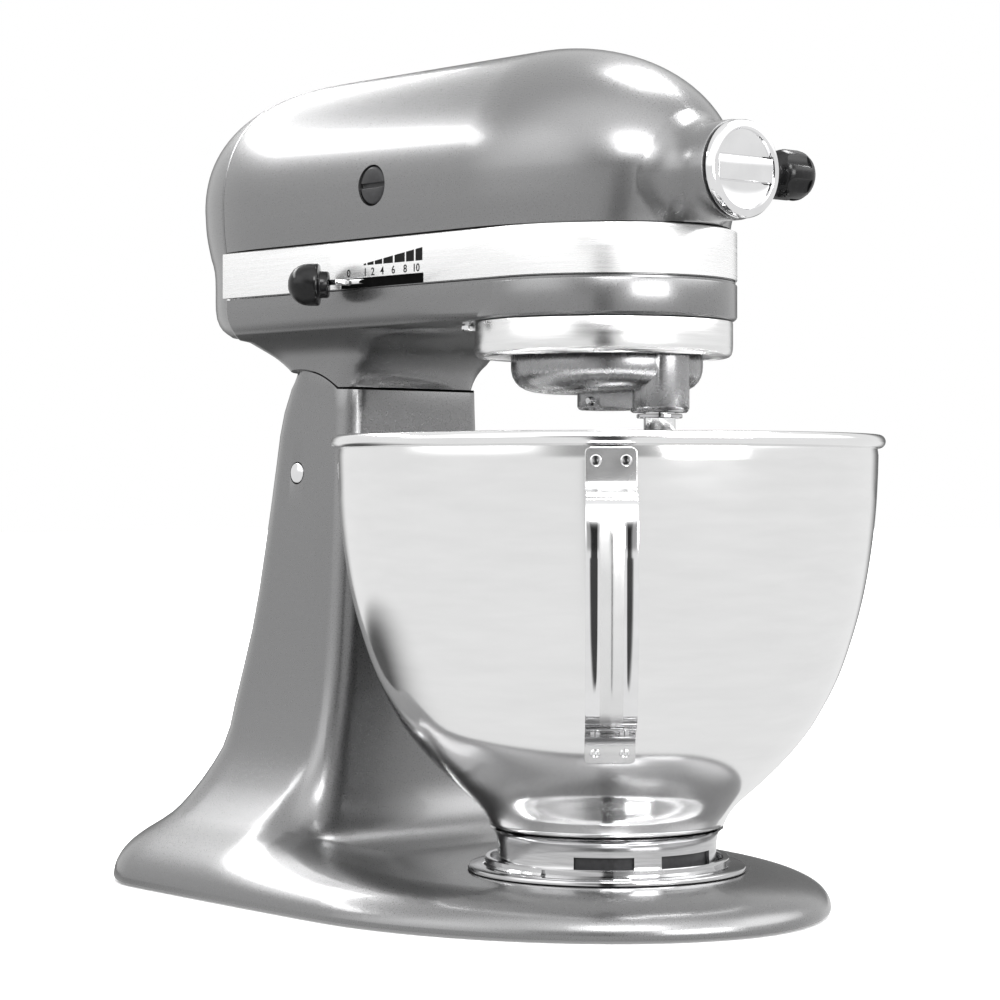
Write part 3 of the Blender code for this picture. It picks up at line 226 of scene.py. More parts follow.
def turned(name, profile, x=0, y=0, z=0, aim="Z", sides=96, look=None, closed=False, round_off=0.0, angle=32):
    """A turned piece from (radius, height) points; its corners are rounded off by a bevel."""
    bm = bmesh.new()
    rows = []
    for r, h in profile:
        if r < 1e-6:
            rows.append([bm.verts.new((0, 0, h / 1000.0))] * sides)
        else:
            rows.append([bm.verts.new((r / 1000.0 * math.cos(2 * math.pi * i / sides), r / 1000.0 * math.sin(2 * math.pi * i / sides), h / 1000.0)) for i in range(sides)])
    pairs = list(zip(rows, rows[1:])) + ([(rows[-1], rows[0])] if closed else [])
    for lower, upper in pairs:
        for i in range(sides):
            j = (i + 1) % sides
            corners = []
            for v in (lower[i], lower[j], upper[j], upper[i]):
                if v not in corners:
                    corners.append(v)
            if len(corners) > 2:
                bm.faces.new(corners)
    bmesh.ops.recalc_face_normals(bm, faces=bm.faces)
    if bm.calc_volume(signed=True) < 0:
        bmesh.ops.reverse_faces(bm, faces=bm.faces)
    obj = from_bmesh(name, bm, look)
    obj.data.transform(Matrix.Translation(P(x, y, z)) @ AIM[aim])
    if round_off:
        bevel(obj, round_off, 25)
    return settle(obj, angle)


def bevel(obj, width, angle=35, segments=3):
    made = obj.modifiers.new("Edge", "BEVEL")
    made.width = width / 1000.0
    made.segments = segments
    made.limit_method = "ANGLE"
    made.angle_limit = math.radians(angle)
    made.use_clamp_overlap = True
    return obj


def box(name, low, high, look=None):
    bm = bmesh.new()
    middle = (P(*low) + P(*high)) / 2
    size = P(*high) - P(*low)
    bmesh.ops.create_cube(bm, size=1.0, matrix=Matrix.Translation(middle) @ Matrix.Diagonal((*size, 1.0)))
    return from_bmesh(name, bm, look)


def slab(name, outline, place, low, high, look=None):
    """A flat outline of (u, v), extruded from low to high; place(u, v, w) gives its point."""
    bm = bmesh.new()
    bottom = [bm.verts.new(P(*place(u, v, low))) for u, v in outline]
    top = [bm.verts.new(P(*place(u, v, high))) for u, v in outline]
    bm.faces.new(bottom)
    bm.faces.new(top)
    for i in range(len(outline)):
        j = (i + 1) % len(outline)
        bm.faces.new((bottom[i], bottom[j], top[j], top[i]))
    bmesh.ops.recalc_face_normals(bm, faces=bm.faces)
    if bm.calc_volume(signed=True) < 0:
        bmesh.ops.reverse_faces(bm, faces=bm.faces)
    return from_bmesh(name, bm, look)


def boolean(target, tools, how="DIFFERENCE"):
    for tool in tools:
        step = target.modifiers.new("Cut", "BOOLEAN")
        step.operation = how
        step.solver = "EXACT"
        step.object = tool
    settle(target)
    for tool in tools:
        bpy.data.objects.remove(tool, do_unlink=True)
    return target


def rod(name, x, y, z, aim, length, r, sides=64):
    return turned(name, [(0, 0), (r, 0), (r, length), (0, length)], x, y, z, aim, sides)


def smooth_step(table, value):
    if value <= table[0][0]:
        return table[0][1]
    if value >= table[-1][0]:
        return table[-1][1]
    slopes = []
    for i in range(len(table)):
        a = table[max(i - 1, 0)]
        b = table[min(i + 1, len(table) - 1)]
        slopes.append((b[1] - a[1]) / (b[0] - a[0]))
    for i, (low, high) in enumerate(zip(table, table[1:])):
        if low[0] <= value <= high[0]:
            span = high[0] - low[0]
            t = (value - low[0]) / span
            return (
                (2 * t**3 - 3 * t**2 + 1) * low[1] + (t**3 - 2 * t**2 + t) * span * slopes[i]
                + (3 * t**2 - 2 * t**3) * high[1] + (t**3 - t**2) * span * slopes[i + 1]
            )


def arc(cx, cy, r, start, end, steps):
    return [
        (cx + r * math.cos(math.radians(start + (end - start) * i / steps)), cy + r * math.sin(math.radians(start + (end - start) * i / steps)))
        for i in range(steps + 1)
    ]


# ---------------------------------------------------------------- base and column
BASE_NOSE_Y, BASE_REAR_Y, BASE_HALF = -93.5, 228.0, 110.4
PAD_Z, FLOOR_Z = 16.6, 1.0
PIN_Y, PIN_Z, NECK_R, NECK_STEP_Z = 154.0, 178.0, 44.6, 213.0
CORE = (0.0, 150.0)
HALF_AT = [(17, 98), (21, 87), (27.5, 76.5), (31, 72), (36, 66.5), (43, 60.5), (51, 55.5), (60, 51), (80, 46.5), (110, 43.4), (150, 41), (180, 39.3), (213, 38), (226, 38)]
FRONT_AT = [(17, 93), (18.5, 98), (21, 104), (25, 109.5), (31, 113.5), (40, 116.2), (55, 118), (80, 119), (226, 119)]
REAR_AT = [(17, 222), (27.5, 220), (31, 218.5), (36, 217), (43, 214), (51, 210), (60, 206), (80, 200), (110, 192), (150, 184.8), (180, 180.4), (195, 178.2), (210, 173.6), (226, 164)]
EDGE = [
    (0.0, 2.4, 0.0, 2.4), (0.5, 5.0, 0.02, 6.0), (2.2, 8.0, 0.07, 9.5), (5.6, 10.8, 0.17, 13.5),
    (11.5, 13.3, 0.33, 17.5), (20.0, 15.3, 0.55, 21.2), (28.5, 16.4, 0.8, 24.6),
]


def base_outline(inset, fine=72):
    nose, corner = 50.0, 44.0
    half = []
    for i in range(fine + 1):
        turn = math.radians(90.0 * i / fine)
        half.append((BASE_HALF * math.sin(turn) ** (2 / 1.92), nose - (nose - BASE_NOSE_Y) * math.cos(turn) ** (2 / 1.92)))
    side_end = BASE_REAR_Y - corner
    for i in range(1, 17):
        y = nose + (side_end - nose) * i / 16
        half.append((BASE_HALF - 4.4 * ((y - nose) / (side_end - nose)) ** 1.4, y))
    last = half[-1][0]
    half += arc(last - corner, side_end, corner, 4, 90, 24)
    points = half + [(-x, y) for x, y in reversed(half[1:])]
    moved = []
    for i, (x, y) in enumerate(points):
        ax, ay = points[i - 1]
        bx, by = points[(i + 1) % len(points)]
        dx, dy = bx - ax, by - ay
        size = math.hypot(dx, dy) or 1.0
        moved.append((x - inset * dy / size, y + inset * dx / size))
    return moved


def rounded_box(half, front, rear, front_r, rear_r, steps=14):
    right = arc(half - front_r, front + front_r, front_r, -90, 0, steps) + arc(half - rear_r, rear - rear_r, rear_r, 0, 90, steps)
    return right + [(-x, y) for x, y in reversed(right)]


def ray_hit(outline, turn):
    dx, dy = math.cos(turn), math.sin(turn)
    best = None
    for (ax, ay), (bx, by) in zip(outline, outline[1:] + outline[:1]):
        ex, ey = bx - ax, by - ay
        bottom = dx * ey - dy * ex
        if abs(bottom) < 1e-9:
            continue
        t = ((ax - CORE[0]) * ey - (ay - CORE[1]) * ex) / bottom
        s = ((ax - CORE[0]) * dy - (ay - CORE[1]) * dx) / bottom
        if t > 0 and -1e-9 <= s <= 1 + 1e-9 and (best is None or t > best):
            best = t
    return (CORE[0] + dx * best, CORE[1] + dy * best)


def ring_turns(count):
    """Directions spread over both the foot's edge and the column's outline."""
    found = []
    for outline, share in ((base_outline(0), count // 2), (rounded_box(40, 119, 180, 9, 17), count // 2)):
        lengths = [0.0]
        for a, b in zip(outline, outline[1:] + outline[:1]):
            lengths.append(lengths[-1] + math.dist(a, b))
        for i in range(share):
            goal = lengths[-1] * (i + 0.25) / share
            k = max(j for j in range(len(outline)) if lengths[j] <= goal + 1e-9)
            a, b = outline[k], outline[(k + 1) % len(outline)]
            t = (goal - lengths[k]) / max(lengths[k + 1] - lengths[k], 1e-9)
            found.append(math.atan2(a[1] + (b[1] - a[1]) * t - CORE[1], a[0] + (b[0] - a[0]) * t - CORE[0]))
    found.sort()
    kept = [found[0]]
    for turn in found[1:]:
        if turn - kept[-1] > 0.004:
            kept.append(turn)
    return kept


TURNS = ring_turns(232)


def backward(turn):
    off = abs(math.degrees(math.remainder(turn + math.pi / 2, 2 * math.pi)))
    t = min(max((off - 28.0) / 52.0, 0.0), 1.0)
    return t * t * (3 - 2 * t)


def column_hit(z, turn):
    half, front, rear = smooth_step(HALF_AT, z), smooth_step(FRONT_AT, z), smooth_step(REAR_AT, z)
    deep = rear - front
    front_r = min(9.0 + max(0.0, 60 - z) * 0.5, half * 0.6, deep * 0.45)
    rear_r = min(17.0 + max(0.0, 80 - z) * 0.35, half * 0.6, deep * 0.45)
    return ray_hit(rounded_box(half, front, rear, front_r, rear_r), turn)


def blended(table, steps):
    """More rows through a table of four columns, on a smooth curve."""
    rows = []
    columns = [[(i, row[c]) for i, row in enumerate(table)] for c in range(len(table[0]))]
    for k in range((len(table) - 1) * steps + 1):
        rows.append(tuple(smooth_step(column, k / steps) for column in columns))
    return rows


def base_rings():
    rims = {turn: ray_hit(base_outline(0.0), turn) for turn in TURNS}
    cols = {turn: column_hit(27.5, turn) for turn in TURNS}
    outline = base_outline(0.6)
    rings = [[(*ray_hit(outline, turn), FLOOR_Z) for turn in TURNS]]
    for inset, low, share, high in blended(EDGE, 3):
        outline = base_outline(max(inset, 0.0))
        ring = []
        for turn in TURNS:
            w = backward(turn)
            fx, fy = ray_hit(outline, turn)
            rx, ry = rims[turn]
            cx, cy = cols[turn]
            bx, by = rx + (cx - rx) * share, ry + (cy - ry) * share
            ring.append((fx + (bx - fx) * w, fy + (by - fy) * w, low + (high - low) * w))
        rings.append(ring)
    rise = [(17.0, 27.5), (17.7, 29.0), (19.4, 31.0), (22.0, 33.4), (25.0, 36.0), (30.0, 39.6), (36.0, 43.0), (45.0, 49.0), (56.0, 56.0), (65.0, 65.0), (76.0, 76.0),
            (90.0, 90.0), (108, 108), (126, 126), (145.0, 145.0), (162, 162), (180, 180), (195.0, 195.0), (205, 205), (215, 215), (225.0, 225.0)]
    for low, high in rise:
        ring = []
        for turn in TURNS:
            z = low + (high - low) * backward(turn)
            x, y = column_hit(z, turn)
            ring.append((x, y, max(z, PAD_Z) if low > 17.0 or z > 17.4 else PAD_Z))
        rings.append(ring)
    return rings


pedestal = loft("pedestal_casting", base_rings(), PAINT)
side = lambda u, v, w: (w, u, v)
top_cut = slab(
    "top_cut", arc(PIN_Y, PIN_Z, NECK_R, 126, 50, 60) + [(230, 212), (230, 270), (90, 270), (90, NECK_STEP_Z)], side, -70, 70)
room_cut = slab("room_cut", [(126.5, 150), (165.5, 150), (165.5, 240), (126.5, 240)], side, -33, 33)
rear_cut = slab("rear_cut", [(150, 163), (205, 163), (205, 240), (150, 240)], side, -31.6, 31.6)
pin_cut = rod("pin_cut", -70, PIN_Y, PIN_Z, "X", 140, 4.9)
lock_cut = box("lock_cut", (30, 127.2, 184.8), (60, 151.5, 191.2))
inner_cut = loft("inner_cut", [[(*ray_hit(base_outline(8.0), t), z) for t in TURNS[::4]] for z in (-6.0, 5.0)])
boolean(pedestal, [top_cut, room_cut, rear_cut, pin_cut, lock_cut, inner_cut])
bevel(pedestal, 0.9, 55, 3)
settle(pedestal, 40)
piece(pedestal, "stand", "pedestal_base")

for number in range(1, 6):
    low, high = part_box(f"foot_{number}")
    x, y = (low.x + high.x) * 500, (low.y + high.y) * 500 + Y_MID
    foot = turned(f"rubber_foot_{number}", [(0, 5), (9.3, 5), (9.2, 3.2), (8.4, 0.6), (7.8, 0), (4.4, 0), (4.0, 0.8), (0, 0.8)], x, y, 0, sides=48, look=RUBBER)
    piece(foot, "stand", f"foot_{number}")
piece(turned("hinge_pin_polished", [(0, 79.4), (3.6, 79.4), (4.3, 79.0), (4.6, 78.2), (4.6, 1.2), (4.3, 0.4), (3.6, 0), (0, 0.0)], -40.0, PIN_Y, PIN_Z, "X", 64, CHROME), "stand", "hinge_pin")

# ---------------------------------------------------------------- bowl clamp plate
plate = turned(
    "clamp_plate_polished",
    [(44.0, 18.6), (46.9, 18.7), (47.1, 19.5), (47.2, 21.9), (47.6, 22.2), (49.2, 22.2), (49.6, 21.9), (49.8, 20.2), (50.6, 19.3), (52.4, 19.1), (55.6, 18.85),
     (56.3, 18.5), (56.5, 18.0), (56.5, 17.0), (30.0, 17.0), (30.0, 18.6)],
    sides=128, look=FOOT_STEEL, closed=True,
)
windows = []
for k in range(4):
    a0, a1 = -44 - 31 + 90 * k, -44 + 3 + 90 * k
    a0, a1 = a0 - 90, a1 - 90
    outline = arc(0, 0, 48.4, a0, a1, 12) + arc(0, 0, 53, a1, a0, 12)
    windows.append(slab(f"window_{k}", outline, lambda u, v, w: (u, v, w), 19.35, 21.5))
boolean(plate, windows)
piece(plate, "stand", "bowl_clamp_plate")
for number in (1, 2, 3):
    low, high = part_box(f"clamp_screw_{number}")
    x, y = (low.x + high.x) * 500, (low.y + high.y) * 500 + Y_MID
    screw = turned(f"clamp_screw_head_{number}", [(0, 20.5), (2.4, 20.4), (3.5, 20.0), (4.2, 19.3), (4.2, 18.9), (2.1, 18.9), (2.1, 13.5), (0, 13.5)], x, y, 0, sides=40, look=FOOT_STEEL)
    boolean(screw, [box("slot_a", (x - 2.6, y - 0.45, 19.4), (x + 2.6, y + 0.45, 22)), box("slot_b", (x - 0.45, y - 2.6, 19.4), (x + 0.45, y + 2.6, 22))])
    piece(screw, "stand", f"clamp_screw_{number}")

# ---------------------------------------------------------------- bowl
BOWL_OUTSIDE = [
    (35.0, 47.5), (40.0, 50.0), (45.0, 54.4), (53.0, 63.4), (61.2, 71.6), (69.3, 78.6), (77.4, 84.3),
    (93.6, 92.9), (110.0, 98.8), (126.0, 103.2), (142.2, 106.2), (160.0, 108.4), (176.0, 109.4), (187.0, 109.7),
]
RIM_R, TUBE, RIM_Z, WALL = 112.5, 2.75, 190.0, 1.2


def bowl_radius(z):
    return smooth_step(BOWL_OUTSIDE, z)


levels = [35.2 + (184.5 - 35.2) * (i / 54) ** 1.15 for i in range(55)]
profile = [(0, 33.0 + WALL), (20, 33.1 + WALL), (38, 33.5 + WALL), (44.5, 34.2 + WALL)]
profile += [(bowl_radius(z) - WALL, z + (0.9 if z < 60 else 0.3)) for z in levels[1:]]
profile += arc(RIM_R - TUBE, RIM_Z, TUBE, 190, -100, 20)
profile += [(bowl_radius(z), z) for z in reversed(levels)]
profile += [(44.5, 33.6), (38, 33.4), (20, 33.0), (0, 33.0)]
piece(turned("bowl_polished", profile, sides=160, look=STEEL, angle=50), "bowl", "bowl_shell")
foot_profile = [
    (47.35, 33.85), (46.6, 33.3), (45.9, 32.6), (45.3, 31.6), (44.85, 30), (44.55, 28), (44.45, 26), (44.45, 24), (44.6, 22), (45.0, 20.4), (45.6, 19.2), (45.4, 19.0),
    (44.2, 19.0), (43.6, 21), (43.2, 24), (43.1, 28), (43.3, 31), (44.0, 33.0), (44.8, 33.75),
]
bowl_foot = turned("bowl_foot_polished", foot_profile, sides=144, look=FOOT_STEEL, closed=True)
openings = []
for k in range(2):
    for a0, a1 in ((-17, 14), (29, 67)):
        start, end = -90 - 44 + a0 + 180 * k, -90 - 44 + a1 + 180 * k
        openings.append(slab(f"foot_window_{k}_{a0}", arc(0, 0, 41.5, start, end, 10) + arc(0, 0, 48.5, end, start, 10), lambda u, v, w: (u, v, w), 21.0, 26.4))
boolean(bowl_foot, openings)
piece(bowl_foot, "bowl", "bowl_foot_ring")
# painted shade: a dark ring just inside the foot, so that its windows show shade
foot_shade_ring = turned("foot_painted_shade_ring", [(42.9, 20.0), (42.9, 27.6), (42.3, 27.6), (42.3, 20.0)], sides=96, look=DARK, closed=True)
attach(foot_shade_ring, "bowl")

# the handle: a strap, flat at its tabs and rolled over along the grip
TURN = math.radians(43.2)
WIDE = 19.3


def on_wall(z, off):
    return (bowl_radius(z) + off, z)


GRIP = [
    on_wall(186.5, 1.5), on_wall(180, 1.5), on_wall(173.5, 1.6), (112.6, 170.6), (117.0, 169.4), (124.5, 168.8), (130.5, 166.8),
    (134.6, 162.4), (136.4, 155.5), (136.8, 142.0), (135.4, 128.0), (132.2, 114.0), (127.0, 101.6), (121.0, 92.6),
    (114.0, 86.4), (105.0, 82.6), (95.0, 80.4), (89.4, 78.6), on_wall(75.5, 1.9), on_wall(71.5, 1.6), on_wall(67.0, 1.6),
]
u_table = [(i, p[0]) for i, p in enumerate(GRIP)]
v_table = [(i, p[1]) for i, p in enumerate(GRIP)]
steps = 150
middle = [(smooth_step(u_table, (len(GRIP) - 1) * i / steps), smooth_step(v_table, (len(GRIP) - 1) * i / steps)) for i in range(steps + 1)]
ACROSS = 40


def strap_point(i, s, lift):
    """A point of the strap: i along it, s from -1 to 1 across it, lift off its middle surface."""
    u, v = middle[i]
    au, av = middle[max(i - 1, 0)]
    bu, bv = middle[min(i + 1, steps)]
    du, dv = bu - au, bv - av
    size = math.hypot(du, dv)
    nu, nv = -dv / size, du / size
    if nu < 0 and abs(nu) > abs(nv):
        nu, nv = -nu, -nv
    if v > 120 and nv < 0 and abs(nv) > abs(nu):
        nu, nv = -nu, -nv
    if v <= 120 and nv > 0 and abs(nv) > abs(nu):
        nu, nv = -nu, -nv
    along = i / steps
    rise = min(max((along - 0.34) / 0.07, 0.0), 1.0)
    fall = min(max((0.80 - along) / 0.2, 0.0), 1.0)
    rib = rise * rise * (3 - 2 * rise) * fall * fall * (3 - 2 * fall)
    half = WIDE / 2
    if min(i, steps - i) < 3:
        half -= 2.0 - math.sqrt(4.0 - (2.0 - min(i, steps - i) * 0.75) ** 2) if min(i, steps - i) * 0.75 < 2.0 else 0.0
    w = half * s
    wide = 5.4 + 3.0 * (1 - fall)
    n = lift + (1.9 * rib * math.cos(math.pi * w / (2 * wide)) ** 2 if abs(w) < wide else 0.0) - 0.35 * rib * abs(s) ** 8
    out = u + nu * n
    up = v + nv * n
    cos_t, sin_t = math.sin(-TURN), -math.cos(TURN)
    return (out * cos_t + w * -sin_t, out * sin_t + w * cos_t, up)


bm = bmesh.new()
grids = []
for lift in (0.85, -0.85):
    grids.append([[bm.verts.new(P(*strap_point(i, -1 + 2 * j / ACROSS, lift))) for j in range(ACROSS + 1)] for i in range(steps + 1)])
for grid in grids:
    for i in range(steps):
        for j in range(ACROSS):
            face = bm.faces.new((grid[i][j], grid[i][j + 1], grid[i + 1][j + 1], grid[i + 1][j]))
            tab = middle[i][1] > 172.5 or middle[i][1] < 76.5
            centre_rib = abs(-1 + 2 * (j + 0.5) / ACROSS) < 0.44 and 0.34 < i / steps < 0.72
            face.material_index = 1 if tab or centre_rib else 0
for i in range(steps):
    for j in (0, ACROSS):
        bm.faces.new((grids[0][i][j], grids[0][i + 1][j], grids[1][i + 1][j], grids[1][i][j]))
for j in range(ACROSS):
    for i in (0, steps):
        bm.faces.new((grids[0][i][j], grids[0][i][j + 1], grids[1][i][j + 1], grids[1][i][j]))
bmesh.ops.recalc_face_normals(bm, faces=bm.faces)
handle = from_bmesh("bowl_handle_strap", bm, CHROME)
handle.data.materials.append(TAB)
bevel(handle, 0.3, 50, 2)
settle(handle, 35)
piece(handle, "bowl", "bowl_handle")
for number, (z, w) in enumerate(((181.5, -5.6), (181.5, 5.6), (71.0, -5.6), (71.0, 5.6)), 1):
    r = bowl_radius(z) + 2.35
    slope = (bowl_radius(z + 1) - bowl_radius(z - 1)) / 2
    rivet = turned(f"handle_weld_{number}", [(0, 0.75), (0.7, 0.7), (1.0, 0.4), (1.3, 0.75), (1.8, 0.7), (2.2, 0.1), (2.2, -0.6), (0, -0.6)], 0, Y_MID, 0, "Z", 32, CHROME)
    out = Vector((-math.sin(TURN), -math.cos(TURN), -slope)).normalized()
    spot = P(-math.sin(TURN) * r - math.cos(TURN) * -w, -math.cos(TURN) * r + math.sin(TURN) * -w, z)
    rivet.data.transform(Matrix.Translation(spot) @ out.to_track_quat("Z", "Y").to_matrix().to_4x4())
    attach(rivet, "bowl")

# ---------------------------------------------------------------- head
HEAD_R, HEAD_Z, RISE = 56.5, 297.0, 55.0
TAPER_Y, COVER_Y, HUB_Z, BRUSH_Y = 150.0, 189.0, 295.0, 82.0
FRONT_LOW = [(240, -50.0), (262, -52.2), (275, -52.4), (286, -55.4), (297, -57.0)]
SIDE_AT = [(240, 44.0), (243, 49.0), (247, 52.4), (252, 54.0), (262, 54.6), (275, 55.2), (286, 56.2), (297, 56.5)]
REAR_LOW = [(240, 229.0), (243, 232.0), (248, 233.0), (256, 232.6), (266, 232.3), (271, 233.4), (275, 235.6), (286, 238.8), (297, 240.0)]


def head_size(z):
    if z > HEAD_Z:
        drop = min((z - HEAD_Z) / RISE, 0.99999)
        share = math.sqrt(1.0 - drop**2)
        return HEAD_R * share, 25.0 - 82.0 * share, TAPER_Y + 90.0 * (1.0 - drop**2.5) ** (1 / 2.5)
    return smooth_step(SIDE_AT, z), smooth_step(FRONT_LOW, z), smooth_step(REAR_LOW, z)


def tapered(half, rear, y):
    return half * max(1.0 - min((y - TAPER_Y) / (rear - TAPER_Y), 1.0) ** 2.4, 0.0) ** (1 / 2.4)


def nose_ring(z, end, steps=36, back=14):
    half, front, rear = head_size(z)
    right = []
    for i in range(steps + 1):
        turn = math.radians(90.0 * i / steps)
        right.append((half * math.sin(turn) ** (2 / 2.05), 25.0 - (25.0 - front) * math.cos(turn) ** (2 / 2.05)))
    right += [(half, 50.0), (half, 82.0), (half, 116.0), (half, TAPER_Y)]
    last = min(end, rear)
    for i in range(1, back + 1):
        y = TAPER_Y + (last - TAPER_Y) * math.sin(math.radians(90.0 * i / back))
        right.append((max(tapered(half, rear, y), 0.02), y))
    return [(x, y, z) for x, y in right + [(-x, y) for x, y in reversed(right[1:])]]


def tail_ring(z, start, steps=30):
    half, _, rear = head_size(z)
    rear = max(rear, start + 0.6)
    right = []
    for i in range(steps + 1):
        y = start + (rear - start) * math.sin(math.radians(90.0 * i / steps))
        right.append((tapered(half, rear, y) if i < steps else 0.0, y))
    return [(x, y, z) for x, y in right + [(-x, y) for x, y in reversed(right[:-1])]]


RISING = [275.6, 277.5, 280, 283, 286, 289, 293, 297] + [HEAD_Z + RISE * math.sin(math.radians(3.2 * i)) for i in range(1, 28)] + [HEAD_Z + RISE * math.sin(math.radians(a)) for a in (88.2, 89.4)]
housing = loft("head_housing", [nose_ring(z, COVER_Y - 0.2) for z in RISING], PAINT)
hub = turned(
    "hub_neck",
    [(0, 26.8), (18.9, 26.8), (19.4, 26.6), (19.6, 26.0), (19.6, 19.0), (19.62, 17.2), (19.75, 15.2), (20.05, 13.2), (20.6, 11.2), (21.4, 9.3), (22.4, 7.5), (23.6, 5.8), (25.0, 4.1), (26.6, 2.3),
     (28.2, 0.5), (29.8, -1.3), (32.0, -4.2), (32.0, -16), (0, -16)],
    0, -45.8, HUB_Z, "-Y", 96,
)
knob_neck = turned("knob_neck", [(0, 15.0), (6.4, 15.0), (6.9, 14.5), (7.0, 10), (7.6, 8.4), (9.5, 6.6), (9.5, 0), (0, 0)], 10, -62, 296.6, "X", 64)
below = box("below_seam", (-90, -95, 200), (90, 0, 275.6))
boolean(hub, [below])
boolean(housing, [hub, knob_neck], "UNION")
boolean(housing, [
    rod("hub_bore_cut", 0, -38, HUB_Z, "-Y", 60, 15.7, 96), rod("knob_bore_cut", 8, -62, 296.6, "X", 60, 3.4),
    rod("brush_bore_left", -48, BRUSH_Y, HEAD_Z, "-X", 20, 8.6), rod("brush_bore_right", 48, BRUSH_Y, HEAD_Z, "X", 20, 8.6),
])
settle(housing, 38)
piece(housing, "head", "upper_housing")

TAIL = [240.0, 240.6, 241.6, 243, 245, 248, 252, 256, 261, 266, 269, 272, 275, 278] + RISING[2:]
TAIL = [z for z in TAIL if head_size(z)[2] > COVER_Y + 2.0]
cover = loft("head_rear_cover", [tail_ring(z, COVER_Y + 0.2) for z in TAIL], PAINT)
bevel(cover, 0.5, 60, 2)
settle(cover, 40)
piece(cover, "head", "rear_cover")
screw = turned("cover_screw_head", [(0, 7.4), (2.6, 7.4), (3.8, 7.2), (4.6, 6.7), (4.6, 6.2), (2.0, 6.2), (2.0, -6), (0, -6)], 0, 231.9, 318, "Y", 48, FOOT_STEEL)
boolean(screw, [box("screw_slot", (-5, 238.0, 317.4), (5, 242, 318.6))])
piece(screw, "head", "rear_cover_screw")
piece(turned("inlet_grommet", [(5.0, 7.6), (6.0, 8.0), (7.2, 7.8), (8.2, 6.8), (8.4, 5.6), (8.2, 4.9), (6.9, 4.9), (6.9, -2.6), (4.2, -2.6), (4.2, 6.9)], 0, 228.9, 262, "Y", 56, RUBBER, closed=True), "head", "cord_grommet")

# ---------------------------------------------------------------- lower case
BAND_R, COLLAR_Y, BAND_LOW, BAND_HIGH = 54.3, 1.9, 255.2, 274.8
LOW_HALF = [(205, 38), (222, 38.2), (227, 39.0), (231, 41.0), (235, 44.4), (240, 49.4), (245, 52.6), (249.5, 53.6)]
LOW_FRONT = [(205, 119.2), (214, 119.0), (218, 117.4), (222, 114.2), (226, 109.0), (230, 101.0), (233, 89.0), (236, 70.0), (238.9, 57.0)]
LOW_REAR = [(205, 158), (217, 160.5), (222, 165.5), (228, 174), (234, 184), (238, 188.7), (260, 188.7)]


def case_ring(z, half, front, rear, steps=40):
    share = min(max((z - 226.0) / 12.0, 0.0), 1.0)
    nose = min(front + 20.0 + (half - 20.0) * share, rear - 16.0)
    power = 2 / (4.4 - 2.4 * share)
    right = []
    for i in range(steps + 1):
        turn = math.radians(90.0 * i / steps)
        right.append((half * math.sin(turn) ** power, nose - (nose - front) * math.cos(turn) ** power))
    corner = 3.0 if z > 236 else 10.0
    right += [(half, nose + (rear - nose) * k) for k in (0.33, 0.66)] + arc(half - corner, rear - corner, corner, 0, 90, 6)
    return [(x, y, z) for x, y in right + [(-x, y) for x, y in reversed(right[1:])]]


case_rings = [case_ring(z, smooth_step(LOW_HALF, z), smooth_step(LOW_FRONT, z), smooth_step(LOW_REAR, z)) for z in
              (205, 210, 214, 216, 218, 220, 222, 224, 226, 228, 229.5, 231, 232, 233, 234, 235, 236, 237, 238, 238.9)]
case_rings.append(case_ring(239.4, 49.0, COLLAR_Y - 49.0, 188.7))
case_rings += [case_ring(z, smooth_step(LOW_HALF, z), COLLAR_Y - smooth_step(LOW_HALF, z), 188.7) for z in (239.7, 241, 242.5, 244, 246, 248, 249.5, 252, 254.4)]
case_rings += [case_ring(z, BAND_R - 1.3, COLLAR_Y - BAND_R + 1.3, 188.7) for z in (254.9, 275.2)]
case = loft("head_lower_case", case_rings, PAINT)
collar = turned("collar_ring", [(0, 253.6), (53.7, 253.6), (54.15, 253.4), (BAND_R, 252.9), (BAND_R, 240.6), (54.0, 239.9), (53.4, 239.3), (52.6, 239), (0, 239)], 0, COLLAR_Y, 0, sides=144)
neck_cut = rod("neck_cut", -70, PIN_Y, PIN_Z, "X", 140, NECK_R + 0.8, 180)
neck_step = box("neck_step", (-70, 80, 190), (70, 128.3, NECK_STEP_Z + 2.0))
lug = slab("hinge_lug", arc(PIN_Y, PIN_Z, 15.0, -140, 0, 28) + [(166.5, 200), (163.5, 231.3), (128.5, 231.3), (128.5, 178.6)], side, -31, 26)
boolean(case, [neck_cut, neck_step])
boolean(case, [collar, lug], "UNION")
boolean(case, [rod("lug_bore_cut", -80, PIN_Y, PIN_Z, "X", 160, 5.0), box("lever_slot_cut", (-70, 47.3, BAND_LOW + 0.7), (-43, 108.7, 259.7))])
bevel(case, 0.45, 62, 2)
settle(case, 40)
piece(case, "head", "lower_gearcase")
# painted shade: a near-black strip in the gap between the neck and the column top, standing in for the shadow there
neck_gap_shade = box("neck_gap_painted_shade", (-35.0, 121.2, 213.3), (35.0, 127.9, 214.95), INSIDE)
bevel(neck_gap_shade, 0.2, 30, 1)
settle(neck_gap_shade)
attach(neck_gap_shade, "head")
for side_name, x in (("right", 28), ("left", -28)):
    head = turned(f"case_screw_head_{side_name}", [(0, 2.4), (1.8, 2.6), (2.6, 2.6), (3.2, 2.2), (3.4, 1.6), (3.4, 0.5), (2.0, 0.5), (2.0, -5), (0, -5)], x, 53, 238.9, "-Z", 40, CHROME)
    boolean(head, [box("slot", (x - 4, 52.5, 235), (x + 4, 53.5, 237.0))])
    piece(head, "head", f"case_screw_{side_name}")


# ---------------------------------------------------------------- trim band with its speed scale
def band_path(r, rear, fine=72):
    path = [(r, rear), (r, rear * 0.6), (r, rear * 0.3)]
    for i in range(2 * fine + 1):
        turn = math.radians(90.0 - 180.0 * i / (2 * fine))
        path.append((r * math.sin(turn), COLLAR_Y - r * math.cos(turn)))
    return path + [(-r, rear * 0.3), (-r, rear * 0.6), (-r, rear)]


